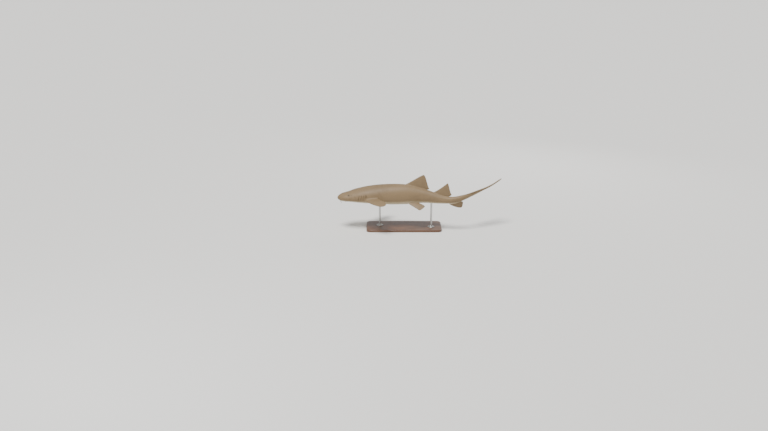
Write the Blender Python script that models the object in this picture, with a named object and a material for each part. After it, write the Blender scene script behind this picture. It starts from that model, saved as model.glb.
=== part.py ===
"""A life-size adult nurse shark, swimming, held by a plain two-rod display stand.

Metres, +Z up. The shark faces -X and its left side faces -Y. The origin is the middle
of the underside of the stand's base. Sizes along and across the body are fractions of
its length; body and fins are shaped straight, then bent along the swimming spine.
"""
import math
from dataclasses import dataclass

import bmesh
import bpy
import numpy as np

# ---------------------------------------------------------------- driving sizes
LENGTH = 2.30  # snout tip to tail tip, along the spine
GAP = 0.0003  # clearance between parts that touch
AXIS_HEIGHT = 0.452  # spine above the floor, at the station over the origin
ORIGIN_STATION = 0.385  # station that lies over the middle of the base

# Stations, from the snout, where the body is parted.
HEAD_END = 0.163
TRUNK_END = 0.474
STOCK_END = 0.714

# Body sections: station, half breadth, height of the widest line above the spine,
# rise of the back over that line, depth of the belly under it.
SECTIONS = (
    (0.000, 0.0400, -0.0170, 0.0185, 0.0135),
    (0.040, 0.0500, -0.0155, 0.0275, 0.0180),
    (0.070, 0.0575, -0.0135, 0.0345, 0.0215),
    (0.100, 0.0635, -0.0120, 0.0445, 0.0255),
    (0.130, 0.0685, -0.0105, 0.0508, 0.0295),
    (0.180, 0.0715, -0.0085, 0.0597, 0.0355),
    (0.250, 0.0690, -0.0060, 0.0662, 0.0430),
    (0.330, 0.0630, -0.0040, 0.0684, 0.0475),
    (0.390, 0.0565, -0.0025, 0.0655, 0.0475),
    (0.440, 0.0480, -0.0010, 0.0575, 0.0435),
    (0.500, 0.0375, 0.0000, 0.0455, 0.0350),
    (0.560, 0.0290, 0.0005, 0.0350, 0.0270),
    (0.650, 0.0190, 0.0005, 0.0208, 0.0182),
    (0.714, 0.0148, 0.0005, 0.0178, 0.0168),
    (0.760, 0.0100, 0.0010, 0.0125, 0.0115),
    (0.850, 0.0062, 0.0020, 0.0075, 0.0070),
    (0.930, 0.0045, 0.0025, 0.0055, 0.0050),
    (1.000, 0.0030, 0.0030, 0.0035, 0.0035),
)
SNOUT_PLAN = 0.050  # length over which the snout rounds off, seen from above
SNOUT_PROFILE = 0.032  # the same, seen from the side
BACK_SQUARENESS = 2.1  # superellipse powers of the upper and lower half sections
BELLY_SQUARENESS = 2.5

# Spine: station, heading towards +Y, climb, and roll that carries the lower side to +Y.
POSE = (
    (0.00, 2.0, -1.0, 0.0),
    (0.20, 0.0, 0.0, 0.0),
    (0.40, -5.0, -0.5, 0.0),
    (0.54, -15.0, -7.0, 2.0),
    (0.64, -11.0, 0.0, 5.0),
    (0.72, 8.0, 18.0, 15.0),
    (0.79, 24.0, 16.0, 42.0),
    (0.86, 27.0, 13.5, 54.0),
    (0.93, 29.0, 21.0, 61.0),
    (1.00, 30.0, 28.0, 64.0),
)

# Caudal fin margins: station, height of the upper one and depth of the lower one.
CAUDAL_MARGINS = (
    (0.700, 0.0172, 0.0167),
    (0.740, 0.0175, 0.0190),
    (0.780, 0.0180, 0.0270),
    (0.830, 0.0195, 0.0395),
    (0.880, 0.0200, 0.0455),
    (0.912, 0.0200, 0.0420),
    (0.928, 0.0195, 0.0290),
    (0.942, 0.0190, 0.0365),
    (0.965, 0.0180, 0.0405),
    (1.000, 0.0160, 0.0385),
)
CAUDAL_TIP = 0.020  # length over which the end of the caudal fin rounds off
BLADE_HALF_THICKNESS = 0.0022 / LENGTH

RING_POINTS = 32
FIN_SIDE_POINTS = 7
FIN_RINGS = 12


@dataclass(frozen=True)
class Fin:
    """One fin: margin points (station, distance out) with the pull of the margin there."""

    root: tuple  # sideways place and height of the line that distances start from
    lean: float  # direction outwards, in degrees above sideways
    front: tuple
    front_pull: tuple
    apex: tuple
    apex_pull: tuple
    rear_tip: tuple
    rear_tip_pull: tuple
    rear: tuple
    rear_pull: tuple
    half_thickness: float
    root_depth: float
    sag: float = 0.0  # drop of the apex below a flat fin
    pitch: float = 0.0  # rise of the fin towards its rear, in degrees


FIRST_DORSAL = Fin(
    root=(0.0, 0.0), lean=90.0,
    front=(0.387, 0.064), front_pull=(0.091, 0.018),
    apex=(0.4865, 0.1285), apex_pull=(0.032, 0.006),
    rear_tip=(0.5235, 0.056), rear_tip_pull=(-0.026, 0.014),
    rear=(0.500, 0.040), rear_pull=(0.034, 0.004),
    half_thickness=0.0062, root_depth=0.022,
)
SECOND_DORSAL = Fin(
    root=(0.0, 0.0), lean=90.0,
    front=(0.546, 0.036), front_pull=(0.059, 0.014),
    apex=(0.6378, 0.103), apex_pull=(0.028, 0.004),
    rear_tip=(0.6635, 0.038), rear_tip_pull=(-0.020, 0.011),
    rear=(0.641, 0.021), rear_pull=(0.030, 0.005),
    half_thickness=0.0048, root_depth=0.014,
)
ANAL = Fin(
    root=(0.0, 0.0), lean=-90.0,
    front=(0.640, 0.0185), front_pull=(0.034, 0.012),
    apex=(0.706, 0.058), apex_pull=(0.028, -0.003),
    rear_tip=(0.723, 0.0265), rear_tip_pull=(0.003, 0.010),
    rear=(0.700, 0.0150), rear_pull=(0.024, 0.004),
    half_thickness=0.0036, root_depth=0.010,
)
PECTORAL = Fin(
    root=(0.060, -0.0143), lean=-9.7,
    front=(0.1594, 0.004), front_pull=(0.029, 0.095),
    apex=(0.270, 0.117), apex_pull=(0.105, -0.020),
    rear_tip=(0.257, 0.046), rear_tip_pull=(0.042, 0.030),
    rear=(0.2254, 0.004), rear_pull=(0.045, 0.000),
    half_thickness=0.0066, root_depth=0.030, sag=0.005, pitch=10.2,
)
PELVIC = Fin(
    root=(0.033, -0.0320), lean=-30.0,
    front=(0.409, 0.004), front_pull=(0.016, 0.052),
    apex=(0.4915, 0.050), apex_pull=(0.036, 0.012),
    rear_tip=(0.522, 0.017), rear_tip_pull=(0.002, 0.020),
    rear=(0.478, 0.000), rear_pull=(0.046, 0.006),
    half_thickness=0.0040, root_depth=0.020, sag=0.003,
)
REAR_TIP_SHARE = 0.28  # share of the trailing margin that is inner margin
FIN_EDGE_HALF = 0.0011 / LENGTH
FIN_TAPER = 0.8  # power by which a fin thins towards its apex
FOIL_FULLNESS = 2.6  # makes the thickest place of a fin's section its half thickness

EYE_STATION = 0.066
EYE_ANGLE = 38.0  # degrees above the widest line of the head
EYE_RADIUS = 0.0140
EYE_PROUD = 0.0036  # how far the cornea stands out of the skin

BARBEL_STATION = 0.019
BARBEL_SIDE = 0.0140
BARBEL_LENGTH = 0.048
BARBEL_RADII = (0.0042, 0.0036, 0.0030, 0.0022, 0.0013)
BARBEL_SWEEP = 40.0  # degrees back from straight down, at the free end
BARBEL_SPLAY = 0.18  # outward lean, as a share of the drop
BARBEL_ROOT = 0.010  # length inside the snout
BARBEL_SIDES = 10

JAW_FRONT = 0.041
JAW_REAR = 0.098
JAW_HALF_WIDTH = 0.031
JAW_TOP = -0.0195  # height of the cut over the jaw
JAW_BLOCK_BOTTOM = -0.08
JAW_SQUARENESS = 2.6

BASE_SIZE = (1.00, 0.42, 0.030)
BASE_CORNER = 0.060
BASE_CORNER_STEPS = 8
BASE_EDGE = 0.006
BASE_EDGE_STEPS = 3
ROD_RADIUS = 0.0125
ROD_SIDES = 32
ROD_STATIONS = {"front": 0.245, "rear": 0.545}
ROD_INTO_BODY = 0.040
FLANGE_RADIUS = 0.045
FLANGE_THICKNESS = 0.008
FLANGE_NECK = (0.019, 0.024)  # radius and height of the neck round the rod
FLANGE_EDGE = 0.002
FLANGE_SIDES = 24

COLOURS = {
    "back": (0.36, 0.29, 0.21),
    "belly": (0.62, 0.56, 0.46),
    "eye": (0.02, 0.018, 0.015),
    "wood": (0.13, 0.07, 0.04),
    "steel": (0.62, 0.62, 0.63),
}


# ---------------------------------------------------------------- curves and pose
def curve(rows, column):
    """A smooth curve with no overshoot through one column of a table of rows."""
    places = np.array([row[0] for row in rows])
    values = np.array([row[column] for row in rows])
    steps = np.diff(places)
    slopes = np.diff(values) / steps
    tangents = np.zeros(len(places))
    tangents[0] = slopes[0]
    tangents[-1] = slopes[-1]
    for i in range(1, len(places) - 1):
        if slopes[i - 1] * slopes[i] > 0:
            near = 2 * steps[i] + steps[i - 1]
            far = steps[i] + 2 * steps[i - 1]
            tangents[i] = (near + far) / (near / slopes[i - 1] + far / slopes[i])

    def value(place):
        i = int(np.clip(np.searchsorted(places, place) - 1, 0, len(steps) - 1))
        t = (place - places[i]) / steps[i]
        start = (1 + 2 * t) * (1 - t) ** 2 * values[i] + t * (1 - t) ** 2 * steps[i] * tangents[i]
        end = t * t * (3 - 2 * t) * values[i + 1] + t * t * (t - 1) * steps[i] * tangents[i + 1]
        return start + end

    return value


HALF_BREADTH, WIDEST, BACK, BELLY = (curve(SECTIONS, column) for column in (1, 2, 3, 4))
HEADING, CLIMB, ROLL = (curve(POSE, column) for column in (1, 2, 3))
UPPER_MARGIN, LOWER_MARGIN = (curve(CAUDAL_MARGINS, column) for column in (1, 2))


def spine_frames(count=600):
    """Places along the spine with its sideways and upward directions there."""
    stations = np.linspace(0.0, 1.0, count + 1)
    ahead, side, up = [], [], []
    for station in stations:
        heading, climb, roll = (math.radians(f(station)) for f in (HEADING, CLIMB, ROLL))
        forward = np.array((math.cos(climb) * math.cos(heading), math.cos(climb) * math.sin(heading),
                            math.sin(climb)))
        level = np.array((-math.sin(heading), math.cos(heading), 0.0))
        rise = np.cross(forward, level)
        ahead.append(forward)
        side.append(level * math.cos(roll) + rise * math.sin(roll))
        up.append(rise * math.cos(roll) - level * math.sin(roll))
    ahead = np.array(ahead)
    steps = (ahead[1:] + ahead[:-1]) / 2 * LENGTH / count
    places = np.vstack([np.zeros(3), np.cumsum(steps, axis=0)])
    origin = [np.interp(ORIGIN_STATION, stations, places[:, k]) for k in range(3)]
    places += np.array((0.0, 0.0, AXIS_HEIGHT)) - origin
    return stations, places, np.array(side), np.array(up)


STATIONS, PLACES, SIDES, UPS = spine_frames()


def at_station(table, station):
    """Row of a table along the spine, at one station."""
    return np.array([np.interp(station, STATIONS, table[:, k]) for k in range(3)])


def to_world(station, sideways, height):
    """World place of a point of the straight shark, all in fractions of its length."""
    across = at_station(SIDES, station) * sideways + at_station(UPS, station) * height
    return at_station(PLACES, station) + across * LENGTH


# ---------------------------------------------------------------- sections
def rounding(station, length):
    """Share of its full size that the body has near a rounded end."""
    if station >= length:
        return 1.0
    return math.sqrt(max(1.0 - (1.0 - station / length) ** 2, 0.0))


def signed_power(value, power):
    """Power of a number that keeps its sign."""
    return math.copysign(abs(value) ** power, value)


def body_half_sizes(station):
    """Half breadth, rise and depth of the section, with the snout rounded."""
    plan = rounding(station, SNOUT_PLAN)
    profile = rounding(station, SNOUT_PROFILE)
    return HALF_BREADTH(station) * plan, BACK(station) * profile, BELLY(station) * profile


def section_point(station, angle, grow=0.0):
    """Sideways place and height of the body's surface at an angle above sideways."""
    breadth, rise, depth = body_half_sizes(station)
    upper = math.sin(angle) >= 0
    power = 2 / (BACK_SQUARENESS if upper else BELLY_SQUARENESS)
    reach = (rise if upper else depth) + grow / LENGTH
    sideways = (breadth + grow / LENGTH) * signed_power(math.cos(angle), power)
    return sideways, WIDEST(station) + reach * signed_power(math.sin(angle), power)


def body_ring(station, grow=0.0):
    """World points round one body section."""
    angles = [2 * math.pi * i / RING_POINTS for i in range(RING_POINTS)]
    return [to_world(station, *section_point(station, angle, grow)) for angle in angles]


def plate_share(place, power):
    """Thickness share across a thin plate whose middle is 0 and whose edges are -1 and 1."""
    return math.sqrt(max(1.0 - abs(place) ** power, 0.0))


def caudal_ring(station):
    """World points round one section of the caudal fin: fleshy core, thin blade."""
    end = rounding(1.0 - station, CAUDAL_TIP)
    top = UPPER_MARGIN(station) * end
    bottom = -LOWER_MARGIN(station) * end
    middle = (top + bottom) / 2
    half = (top - bottom) / 2
    widest = WIDEST(station)
    blade = min(BLADE_HALF_THICKNESS, HALF_BREADTH(station)) * end
    points = []
    for i in range(RING_POINTS):
        angle = 2 * math.pi * i / RING_POINTS
        height = middle + half * math.sin(angle)
        core_reach = BACK(station) if height > widest else BELLY(station)
        core = HALF_BREADTH(station) * end * plate_share((height - widest) / core_reach, 2)
        thin = blade * plate_share(math.sin(angle), 8)
        width = (core ** 3 + thin ** 3) ** (1 / 3)
        points.append(to_world(station, math.copysign(width, math.cos(angle)), height))
    return points


# ---------------------------------------------------------------- mesh helpers
def material(name, colour, roughness, metallic=0.0):
    """A plain finish."""
    finish = bpy.data.materials.new(name)
    finish.use_nodes = True
    shader = finish.node_tree.nodes["Principled BSDF"]
    shader.inputs["Base Color"].default_value = (*colour, 1.0)
    shader.inputs["Roughness"].default_value = roughness
    shader.inputs["Metallic"].default_value = metallic
    finish.diffuse_color = (*colour, 1.0)
    return finish


def add_object(name, mesh, collection, finish=None):
    """A smooth-shaded object, from a bmesh, in its collection."""
    bmesh.ops.recalc_face_normals(mesh, faces=mesh.faces)
    data = bpy.data.meshes.new(name)
    mesh.to_mesh(data)
    mesh.free()
    data.shade_smooth()
    data.set_sharp_from_angle(angle=math.radians(40))
    part = bpy.data.objects.new(name, data)
    collection.objects.link(part)
    if finish:
        data.materials.append(finish)
    else:
        part.hide_render = True
        part.display_type = "WIRE"
    return part


def loft(rings, start=None, end=None):
    """Closed body through rings of points; each end is a flat cap or is drawn to a point."""
    mesh = bmesh.new()
    loops = [[mesh.verts.new(point) for point in ring] for ring in rings]
    for near, far in zip(loops, loops[1:]):
        for i, corner in enumerate(near):
            j = (i + 1) % len(near)
            mesh.faces.new((corner, near[j], far[j]))
            mesh.faces.new((corner, far[j], far[i]))
    for loop, tip in ((loops[0], start), (loops[-1], end)):
        if tip is None:
            mesh.faces.new(loop)
            continue
        peak = mesh.verts.new(tip)
        for i, corner in enumerate(loop):
            mesh.faces.new((corner, loop[(i + 1) % len(loop)], peak))
    return mesh


def cut(part, cutter, operation="DIFFERENCE"):
    """Boolean of a part by a cutter, kept live."""
    modifier = part.modifiers.new(cutter.name, "BOOLEAN")
    modifier.object = cutter
    modifier.operation = operation
    modifier.solver = "EXACT"


# ---------------------------------------------------------------- body
def spaced(start, end, count, lean=1.0):
    """Stations from start to end, closer together at the start when lean is over 1."""
    return [start + (end - start) * (i / count) ** lean for i in range(count + 1)]


HEAD_STATIONS = spaced(0.0012, HEAD_END, 17, 1.6)
TRUNK_STATIONS = spaced(HEAD_END, TRUNK_END, 13)
STOCK_STATIONS = spaced(TRUNK_END, STOCK_END, 10)
CAUDAL_STATIONS = spaced(STOCK_END, 0.915, 12) + spaced(0.921, 0.942, 3) + spaced(0.955, 0.9985, 5, 0.7)


def parted(stations, first=False):
    """The stations of one length of the body, drawn in by half a gap at its cut ends."""
    half = GAP / LENGTH / 2
    start = stations[0] if first else stations[0] + half
    return [start] + stations[1:-1] + [stations[-1] - half]


def make_body(parts, cutters, finish):
    """Head, trunk and tail stock, and one grown copy of all three to cut neighbours with."""
    tip = to_world(0.0, 0.0, WIDEST(0.0))
    head = loft([body_ring(s) for s in parted(HEAD_STATIONS, first=True)], start=tip)
    head = add_object("head", head, parts, finish)
    for name, stations in (("trunk", TRUNK_STATIONS), ("tail_stock", STOCK_STATIONS)):
        add_object(name, loft([body_ring(s) for s in parted(stations)]), parts, finish)
    whole = HEAD_STATIONS + TRUNK_STATIONS[1:] + STOCK_STATIONS[1:]
    grown_tip = to_world(0.0, 0.0, WIDEST(0.0)) - np.array((GAP, 0.0, 0.0))
    rings = [body_ring(s, GAP) for s in whole]
    grown = add_object("grown_body", loft(rings, start=grown_tip), cutters)
    return head, grown


def make_caudal_fin(parts, finish):
    """The long low tail fin: core, blade, notch and end lobe in one loft."""
    stations = [CAUDAL_STATIONS[0] + GAP / LENGTH / 2] + CAUDAL_STATIONS[1:]
    rings = [body_ring(stations[0])] + [caudal_ring(s) for s in stations[1:]]
    end = to_world(1.0, 0.0, (UPPER_MARGIN(1.0) - LOWER_MARGIN(1.0)) / 4)
    add_object("caudal_fin", loft(rings, end=end), parts, finish)


# ---------------------------------------------------------------- fins
def pulled(start, start_pull, end, end_pull, t):
    """Point of a curve between two points with a given pull at each."""
    start, start_pull, end, end_pull = (np.array(v) for v in (start, start_pull, end, end_pull))
    return ((1 + 2 * t) * (1 - t) ** 2 * start + t * (1 - t) ** 2 * start_pull
            + t * t * (3 - 2 * t) * end + t * t * (t - 1) * end_pull)


def trailing_point(fin, t):
    """Point of the rear outline, from the rear of the base round the rear tip to the apex."""
    if t < REAR_TIP_SHARE:
        return pulled(fin.rear, fin.rear_pull, fin.rear_tip, fin.rear_tip_pull, t / REAR_TIP_SHARE)
    apex_pull = -np.array(fin.apex_pull)
    return pulled(fin.rear_tip, fin.rear_tip_pull, fin.apex, apex_pull,
                  (t - REAR_TIP_SHARE) / (1 - REAR_TIP_SHARE))


def fin_world(fin, side, station, out, proud):
    """World place of a point of a fin: distance out, and height over its middle surface."""
    lean = math.radians(fin.lean)
    reach = max(out, 0.0) / fin.apex[1]
    sideways = fin.root[0] + out * math.cos(lean) - proud * math.sin(lean)
    height = fin.root[1] + out * math.sin(lean) + proud * math.cos(lean) - fin.sag * reach * reach
    height += (station - fin.front[0]) * math.tan(math.radians(fin.pitch))
    return to_world(station, side * sideways, height)


def fin_ring(fin, side, t, sink=0.0):
    """World points round one section of a fin, from the leading to the trailing margin."""
    lead = pulled(fin.front, fin.front_pull, fin.apex, fin.apex_pull, t)
    trail = trailing_point(fin, t)
    full = fin.half_thickness * (1 - t) ** FIN_TAPER
    points = []
    for i in range(2 * FIN_SIDE_POINTS):
        angle = math.pi * i / FIN_SIDE_POINTS
        share = (1 - math.cos(angle)) / 2
        along, out = lead + (trail - lead) * share
        foil = FOIL_FULLNESS * math.sqrt(share) * (1 - share)
        thickness = full * foil + FIN_EDGE_HALF * plate_share(math.cos(angle), 8)
        proud = math.copysign(thickness, math.sin(angle))
        points.append(fin_world(fin, side, along, out - sink, proud))
    return points


def make_fin(name, fin, side, parts, body, finish):
    """One fin, with its root cut to the body's surface."""
    rings = [fin_ring(fin, side, 0.0, fin.root_depth)]
    rings += [fin_ring(fin, side, math.sin(math.pi / 2 * i / FIN_RINGS)) for i in range(FIN_RINGS)]
    apex = fin_world(fin, side, fin.apex[0], fin.apex[1], 0.0)
    cut(add_object(name, loft(rings, end=apex), parts, finish), body)


# ---------------------------------------------------------------- head pieces
def ball(centre, radius):
    """A sphere."""
    mesh = bmesh.new()
    bmesh.ops.create_uvsphere(mesh, u_segments=12, v_segments=8, radius=radius)
    bmesh.ops.translate(mesh, verts=mesh.verts, vec=centre)
    return mesh


def make_eye(name, side, head, parts, cutters, finish):
    """An eye sunk in its socket, with the cornea standing a little proud."""
    angle = math.radians(EYE_ANGLE)
    outward = np.array((math.cos(angle), math.sin(angle)))
    sunk = (EYE_RADIUS - EYE_PROUD) / LENGTH
    sideways, height = np.array(section_point(EYE_STATION, angle)) - outward * sunk
    centre = to_world(EYE_STATION, side * sideways, height)
    socket = add_object(name + "_socket", ball(centre, EYE_RADIUS + GAP), cutters)
    cut(head, socket)
    add_object(name, ball(centre, EYE_RADIUS), parts, finish)


def make_barbel(name, side, parts, body, finish):
    """A short fleshy feeler hanging from the front of the nostril."""
    underside = section_point(BARBEL_STATION, -math.pi / 2)[1]
    place = to_world(BARBEL_STATION, side * BARBEL_SIDE, underside) + np.array((0.0, 0.0, BARBEL_ROOT))
    steps = len(BARBEL_RADII)
    rings = []
    for i, radius in enumerate(BARBEL_RADII):
        sweep = math.radians(BARBEL_SWEEP) * i / (steps - 1)
        along = np.array((math.sin(sweep), side * BARBEL_SPLAY, -math.cos(sweep)))
        along /= np.linalg.norm(along)
        across = np.cross(along, (0.0, 1.0, 0.0))
        across /= np.linalg.norm(across)
        beside = np.cross(along, across)
        turns = [2 * math.pi * k / BARBEL_SIDES for k in range(BARBEL_SIDES)]
        rings.append([place + radius * (math.cos(t) * across + math.sin(t) * beside) for t in turns])
        place = place + along * BARBEL_LENGTH / (steps - 1)
    cut(add_object(name, loft(rings), parts, finish), body)


def jaw_block(grow):
    """An upright block whose outline is the lower jaw's, seen from below."""
    mesh = bmesh.new()
    bmesh.ops.create_cone(mesh, cap_ends=True, segments=24, radius1=1.0, radius2=1.0, depth=2.0)
    power = 2 / JAW_SQUARENESS
    middle = (JAW_FRONT + JAW_REAR) / 2
    half_length = (JAW_REAR - JAW_FRONT) / 2 + grow / LENGTH
    half_width = JAW_HALF_WIDTH + grow / LENGTH
    for vertex in mesh.verts:
        along = middle + half_length * signed_power(vertex.co.x, power)
        sideways = half_width * signed_power(vertex.co.y, power)
        height = JAW_TOP + grow / LENGTH if vertex.co.z > 0 else JAW_BLOCK_BOTTOM
        vertex.co = to_world(along, sideways, height)
    return mesh


def make_lower_jaw(head, parts, cutters, finish):
    """The lower jaw, parted from the head by a thin slit that is the mouth in front."""
    jaw = add_object("lower_jaw", loft([body_ring(s) for s in HEAD_STATIONS],
                                       start=to_world(0.0, 0.0, WIDEST(0.0))), parts, finish)
    cut(jaw, add_object("jaw_block", jaw_block(0.0), cutters), "INTERSECT")
    cut(head, add_object("grown_jaw_block", jaw_block(GAP), cutters))


# ---------------------------------------------------------------- stand
def make_base(parts, finish):
    """The flat base: a board with round corners and an eased top edge."""
    mesh = bmesh.new()
    bmesh.ops.create_cube(mesh, size=1.0)
    bmesh.ops.scale(mesh, vec=BASE_SIZE, verts=mesh.verts)
    bmesh.ops.translate(mesh, vec=(0.0, 0.0, BASE_SIZE[2] / 2), verts=mesh.verts)
    uprights = [e for e in mesh.edges if abs(e.verts[0].co.z - e.verts[1].co.z) > BASE_SIZE[2] / 2]
    bmesh.ops.bevel(mesh, geom=uprights, offset=BASE_CORNER, offset_type="OFFSET", segments=BASE_CORNER_STEPS,
                    profile=0.5, affect="EDGES")
    top = [e for e in mesh.edges if min(v.co.z for v in e.verts) > BASE_SIZE[2] * 0.9]
    bmesh.ops.bevel(mesh, geom=top, offset=BASE_EDGE, offset_type="OFFSET", segments=BASE_EDGE_STEPS,
                    profile=0.5, affect="EDGES")
    add_object("stand_base", mesh, parts, finish)


def make_flange(name, place, parts, finish):
    """The round foot that holds a rod to the base, with a neck round the rod."""
    bottom = BASE_SIZE[2] + GAP
    inner = ROD_RADIUS + GAP
    neck_radius, neck_height = FLANGE_NECK
    profile = ((neck_radius, neck_height), (neck_radius, FLANGE_THICKNESS),
               (FLANGE_RADIUS - FLANGE_EDGE, FLANGE_THICKNESS),
               (FLANGE_RADIUS, FLANGE_THICKNESS - FLANGE_EDGE),
               (FLANGE_RADIUS, 0.0), (inner, 0.0), (inner, neck_height))
    mesh = bmesh.new()
    loops = []
    for k in range(FLANGE_SIDES):
        angle = 2 * math.pi * k / FLANGE_SIDES
        east, north = math.cos(angle), math.sin(angle)
        loops.append([mesh.verts.new((place[0] + r * east, place[1] + r * north, bottom + z))
                      for r, z in profile])
    for k, near in enumerate(loops):
        far = loops[(k + 1) % FLANGE_SIDES]
        for i in range(len(profile)):
            j = (i + 1) % len(profile)
            mesh.faces.new((near[i], near[j], far[j], far[i]))
    add_object(name, mesh, parts, finish)


def make_rod(name, station, parts, body, finish):
    """An upright rod from the base to the belly, its top shaped to the skin."""
    place = at_station(PLACES, station)
    belly = to_world(station, *section_point(station, -math.pi / 2))
    bottom = BASE_SIZE[2] + GAP
    top = belly[2] + ROD_INTO_BODY
    mesh = bmesh.new()
    bmesh.ops.create_cone(mesh, cap_ends=True, segments=ROD_SIDES, radius1=ROD_RADIUS,
                          radius2=ROD_RADIUS, depth=top - bottom)
    bmesh.ops.translate(mesh, vec=(place[0], place[1], (top + bottom) / 2), verts=mesh.verts)
    rod = add_object(name, mesh, parts, finish)
    cut(rod, body)
    return place


# ---------------------------------------------------------------- whole model
def clear_scene():
    """Remove whatever the scene holds."""
    for item in list(bpy.data.objects):
        bpy.data.objects.remove(item, do_unlink=True)


def new_collection(name):
    """A collection linked to the scene."""
    collection = bpy.data.collections.new(name)
    bpy.context.scene.collection.children.link(collection)
    return collection


def main():
    """Build every part of the shark and its stand."""
    clear_scene()
    parts = new_collection("nurse_shark")
    cutters = new_collection("cutters")
    back = material("shark_back", COLOURS["back"], 0.55)
    belly = material("shark_belly", COLOURS["belly"], 0.55)
    eye = material("eye", COLOURS["eye"], 0.1)
    wood = material("base_wood", COLOURS["wood"], 0.4)
    steel = material("rod_steel", COLOURS["steel"], 0.3, 1.0)

    head, body = make_body(parts, cutters, back)
    make_caudal_fin(parts, back)
    make_lower_jaw(head, parts, cutters, belly)
    for name, fin in (("first_dorsal_fin", FIRST_DORSAL), ("second_dorsal_fin", SECOND_DORSAL),
                      ("anal_fin", ANAL)):
        make_fin(name, fin, 1, parts, body, back)
    for label, side in (("left", -1), ("right", 1)):
        make_fin("pectoral_fin_" + label, PECTORAL, side, parts, body, back)
        make_fin("pelvic_fin_" + label, PELVIC, side, parts, body, back)
        make_eye("eye_" + label, side, head, parts, cutters, eye)
        make_barbel("nasal_barbel_" + label, side, parts, body, belly)

    make_base(parts, wood)
    for label, station in ROD_STATIONS.items():
        place = make_rod("stand_rod_" + label, station, parts, body, steel)
        make_flange("stand_flange_" + label, place, parts, steel)


main()
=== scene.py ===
"""Finish of a life-size nurse shark on its display stand.

The flesh parts of the frame are replaced by one continuous skin with mouth, nostrils,
gill slits, spiracles and eyelids worked into it. The eyes and the stand are pieces of
their own. Metres, +Z up; the shark faces -X and its left side faces -Y.
"""

import logging
import math
from dataclasses import dataclass, field
from enum import Enum
from typing import Callable, Optional, Sequence

import bmesh
import bpy
import numpy as np
from bpy.types import ID, Material, Mesh, Node, NodeOutputs, NodeSocket, NodeTree, Object
from mathutils import Euler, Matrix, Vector
from mathutils.kdtree import KDTree


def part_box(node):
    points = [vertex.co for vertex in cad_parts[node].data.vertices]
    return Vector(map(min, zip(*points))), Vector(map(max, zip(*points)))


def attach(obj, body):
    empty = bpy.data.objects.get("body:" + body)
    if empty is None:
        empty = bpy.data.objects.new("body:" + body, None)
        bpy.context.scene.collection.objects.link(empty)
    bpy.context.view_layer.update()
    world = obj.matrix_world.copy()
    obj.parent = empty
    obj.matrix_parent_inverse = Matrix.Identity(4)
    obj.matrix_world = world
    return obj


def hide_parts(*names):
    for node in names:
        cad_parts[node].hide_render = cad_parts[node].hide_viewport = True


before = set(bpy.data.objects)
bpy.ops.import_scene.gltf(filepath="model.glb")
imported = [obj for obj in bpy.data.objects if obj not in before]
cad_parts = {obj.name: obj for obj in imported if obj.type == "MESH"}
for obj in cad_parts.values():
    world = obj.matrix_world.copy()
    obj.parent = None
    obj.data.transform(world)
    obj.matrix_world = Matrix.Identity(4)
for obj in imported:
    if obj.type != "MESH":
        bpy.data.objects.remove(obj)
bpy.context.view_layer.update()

LOG = logging.getLogger("nurse_shark")
Row = tuple[float, ...]
Pair = tuple[float, float]
Shade = tuple[int, int, int]
Array = np.ndarray
Arrays = tuple[Array, Array]
Measure = Callable[[Array], Array]
MM = 0.001
CREASE = 35.0
TOO_LONG = 1.4
ANY_LENGTH = 1.0
FAR = 99.0


class Side(Enum):
    """The two sides of the animal, with the sign of their sideways distances."""

    LEFT = -1
    RIGHT = 1

    @property
    def label(self) -> str:
        """Name of the side as the frame's nodes spell it."""
        return self.name.lower()


class Finish(Enum):
    """Material slots of the record."""

    SKIN = "shark_skin"
    EYE = "eye"
    WOOD = "base_wood"
    STEEL = "rod_steel"


# ---- curves
class SmoothCurve:
    """A monotone cubic curve through one column of a table of rows."""

    def __init__(self, rows: Sequence[Row], column: int) -> None:
        """Work out the tangents.

        Args:
            rows: rows whose first number is the place.
            column: which number of each row the curve follows.
        """
        self.places = np.array([row[0] for row in rows])
        self.values = np.array([row[column] for row in rows])
        steps = np.diff(self.places)
        slopes = np.diff(self.values) / steps
        self.steps = steps
        self.tangents = np.zeros(len(self.places))
        self.tangents[0] = slopes[0]
        self.tangents[-1] = slopes[-1]
        for i in range(1, len(self.places) - 1):
            if slopes[i - 1] * slopes[i] > 0:
                near = 2 * steps[i] + steps[i - 1]
                far = steps[i] + 2 * steps[i - 1]
                self.tangents[i] = (near + far) / (near / slopes[i - 1] + far / slopes[i])

    def __call__(self, places: Array) -> Array:
        """Values at some places.

        Args:
            places: one number or an array.

        Returns:
            The curve there.
        """
        places = np.asarray(places, dtype=float)
        i = np.clip(np.searchsorted(self.places, places) - 1, 0, len(self.steps) - 1)
        t = (places - self.places[i]) / self.steps[i]
        start = ((1 + 2 * t) * (1 - t) ** 2 * self.values[i]
                 + t * (1 - t) ** 2 * self.steps[i] * self.tangents[i])
        end = (t * t * (3 - 2 * t) * self.values[i + 1]
               + t * t * (t - 1) * self.steps[i] * self.tangents[i + 1])
        return start + end


def bump(distance: Array, width: float) -> Array:
    """Bell curve: 1 at no distance, e to the -1 at one width."""
    return np.exp(-(distance / width) ** 2)


def smooth_step(low: float, high: float, value: Array) -> Array:
    """0 under low, 1 over high, eased between."""
    t = np.clip((value - low) / (high - low), 0.0, 1.0)
    return t * t * (3 - 2 * t)


def rounding(stations: Array, length: float) -> Array:
    """Share of full size near an end that is rounded over a length."""
    return np.sqrt(np.clip(1.0 - np.clip(1.0 - stations / length, 0.0, 1.0) ** 2, 0.0, 1.0))


def signed_power(values: Array, power: float) -> Array:
    """Power of numbers that keeps their sign."""
    return np.sign(values) * np.abs(values) ** power


def plate_share(places: Array, power: float) -> Array:
    """Thickness share across a plate whose middle is 0 and whose edges are -1 and 1."""
    return np.sqrt(np.clip(1.0 - np.abs(places) ** power, 0.0, 1.0))


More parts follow.
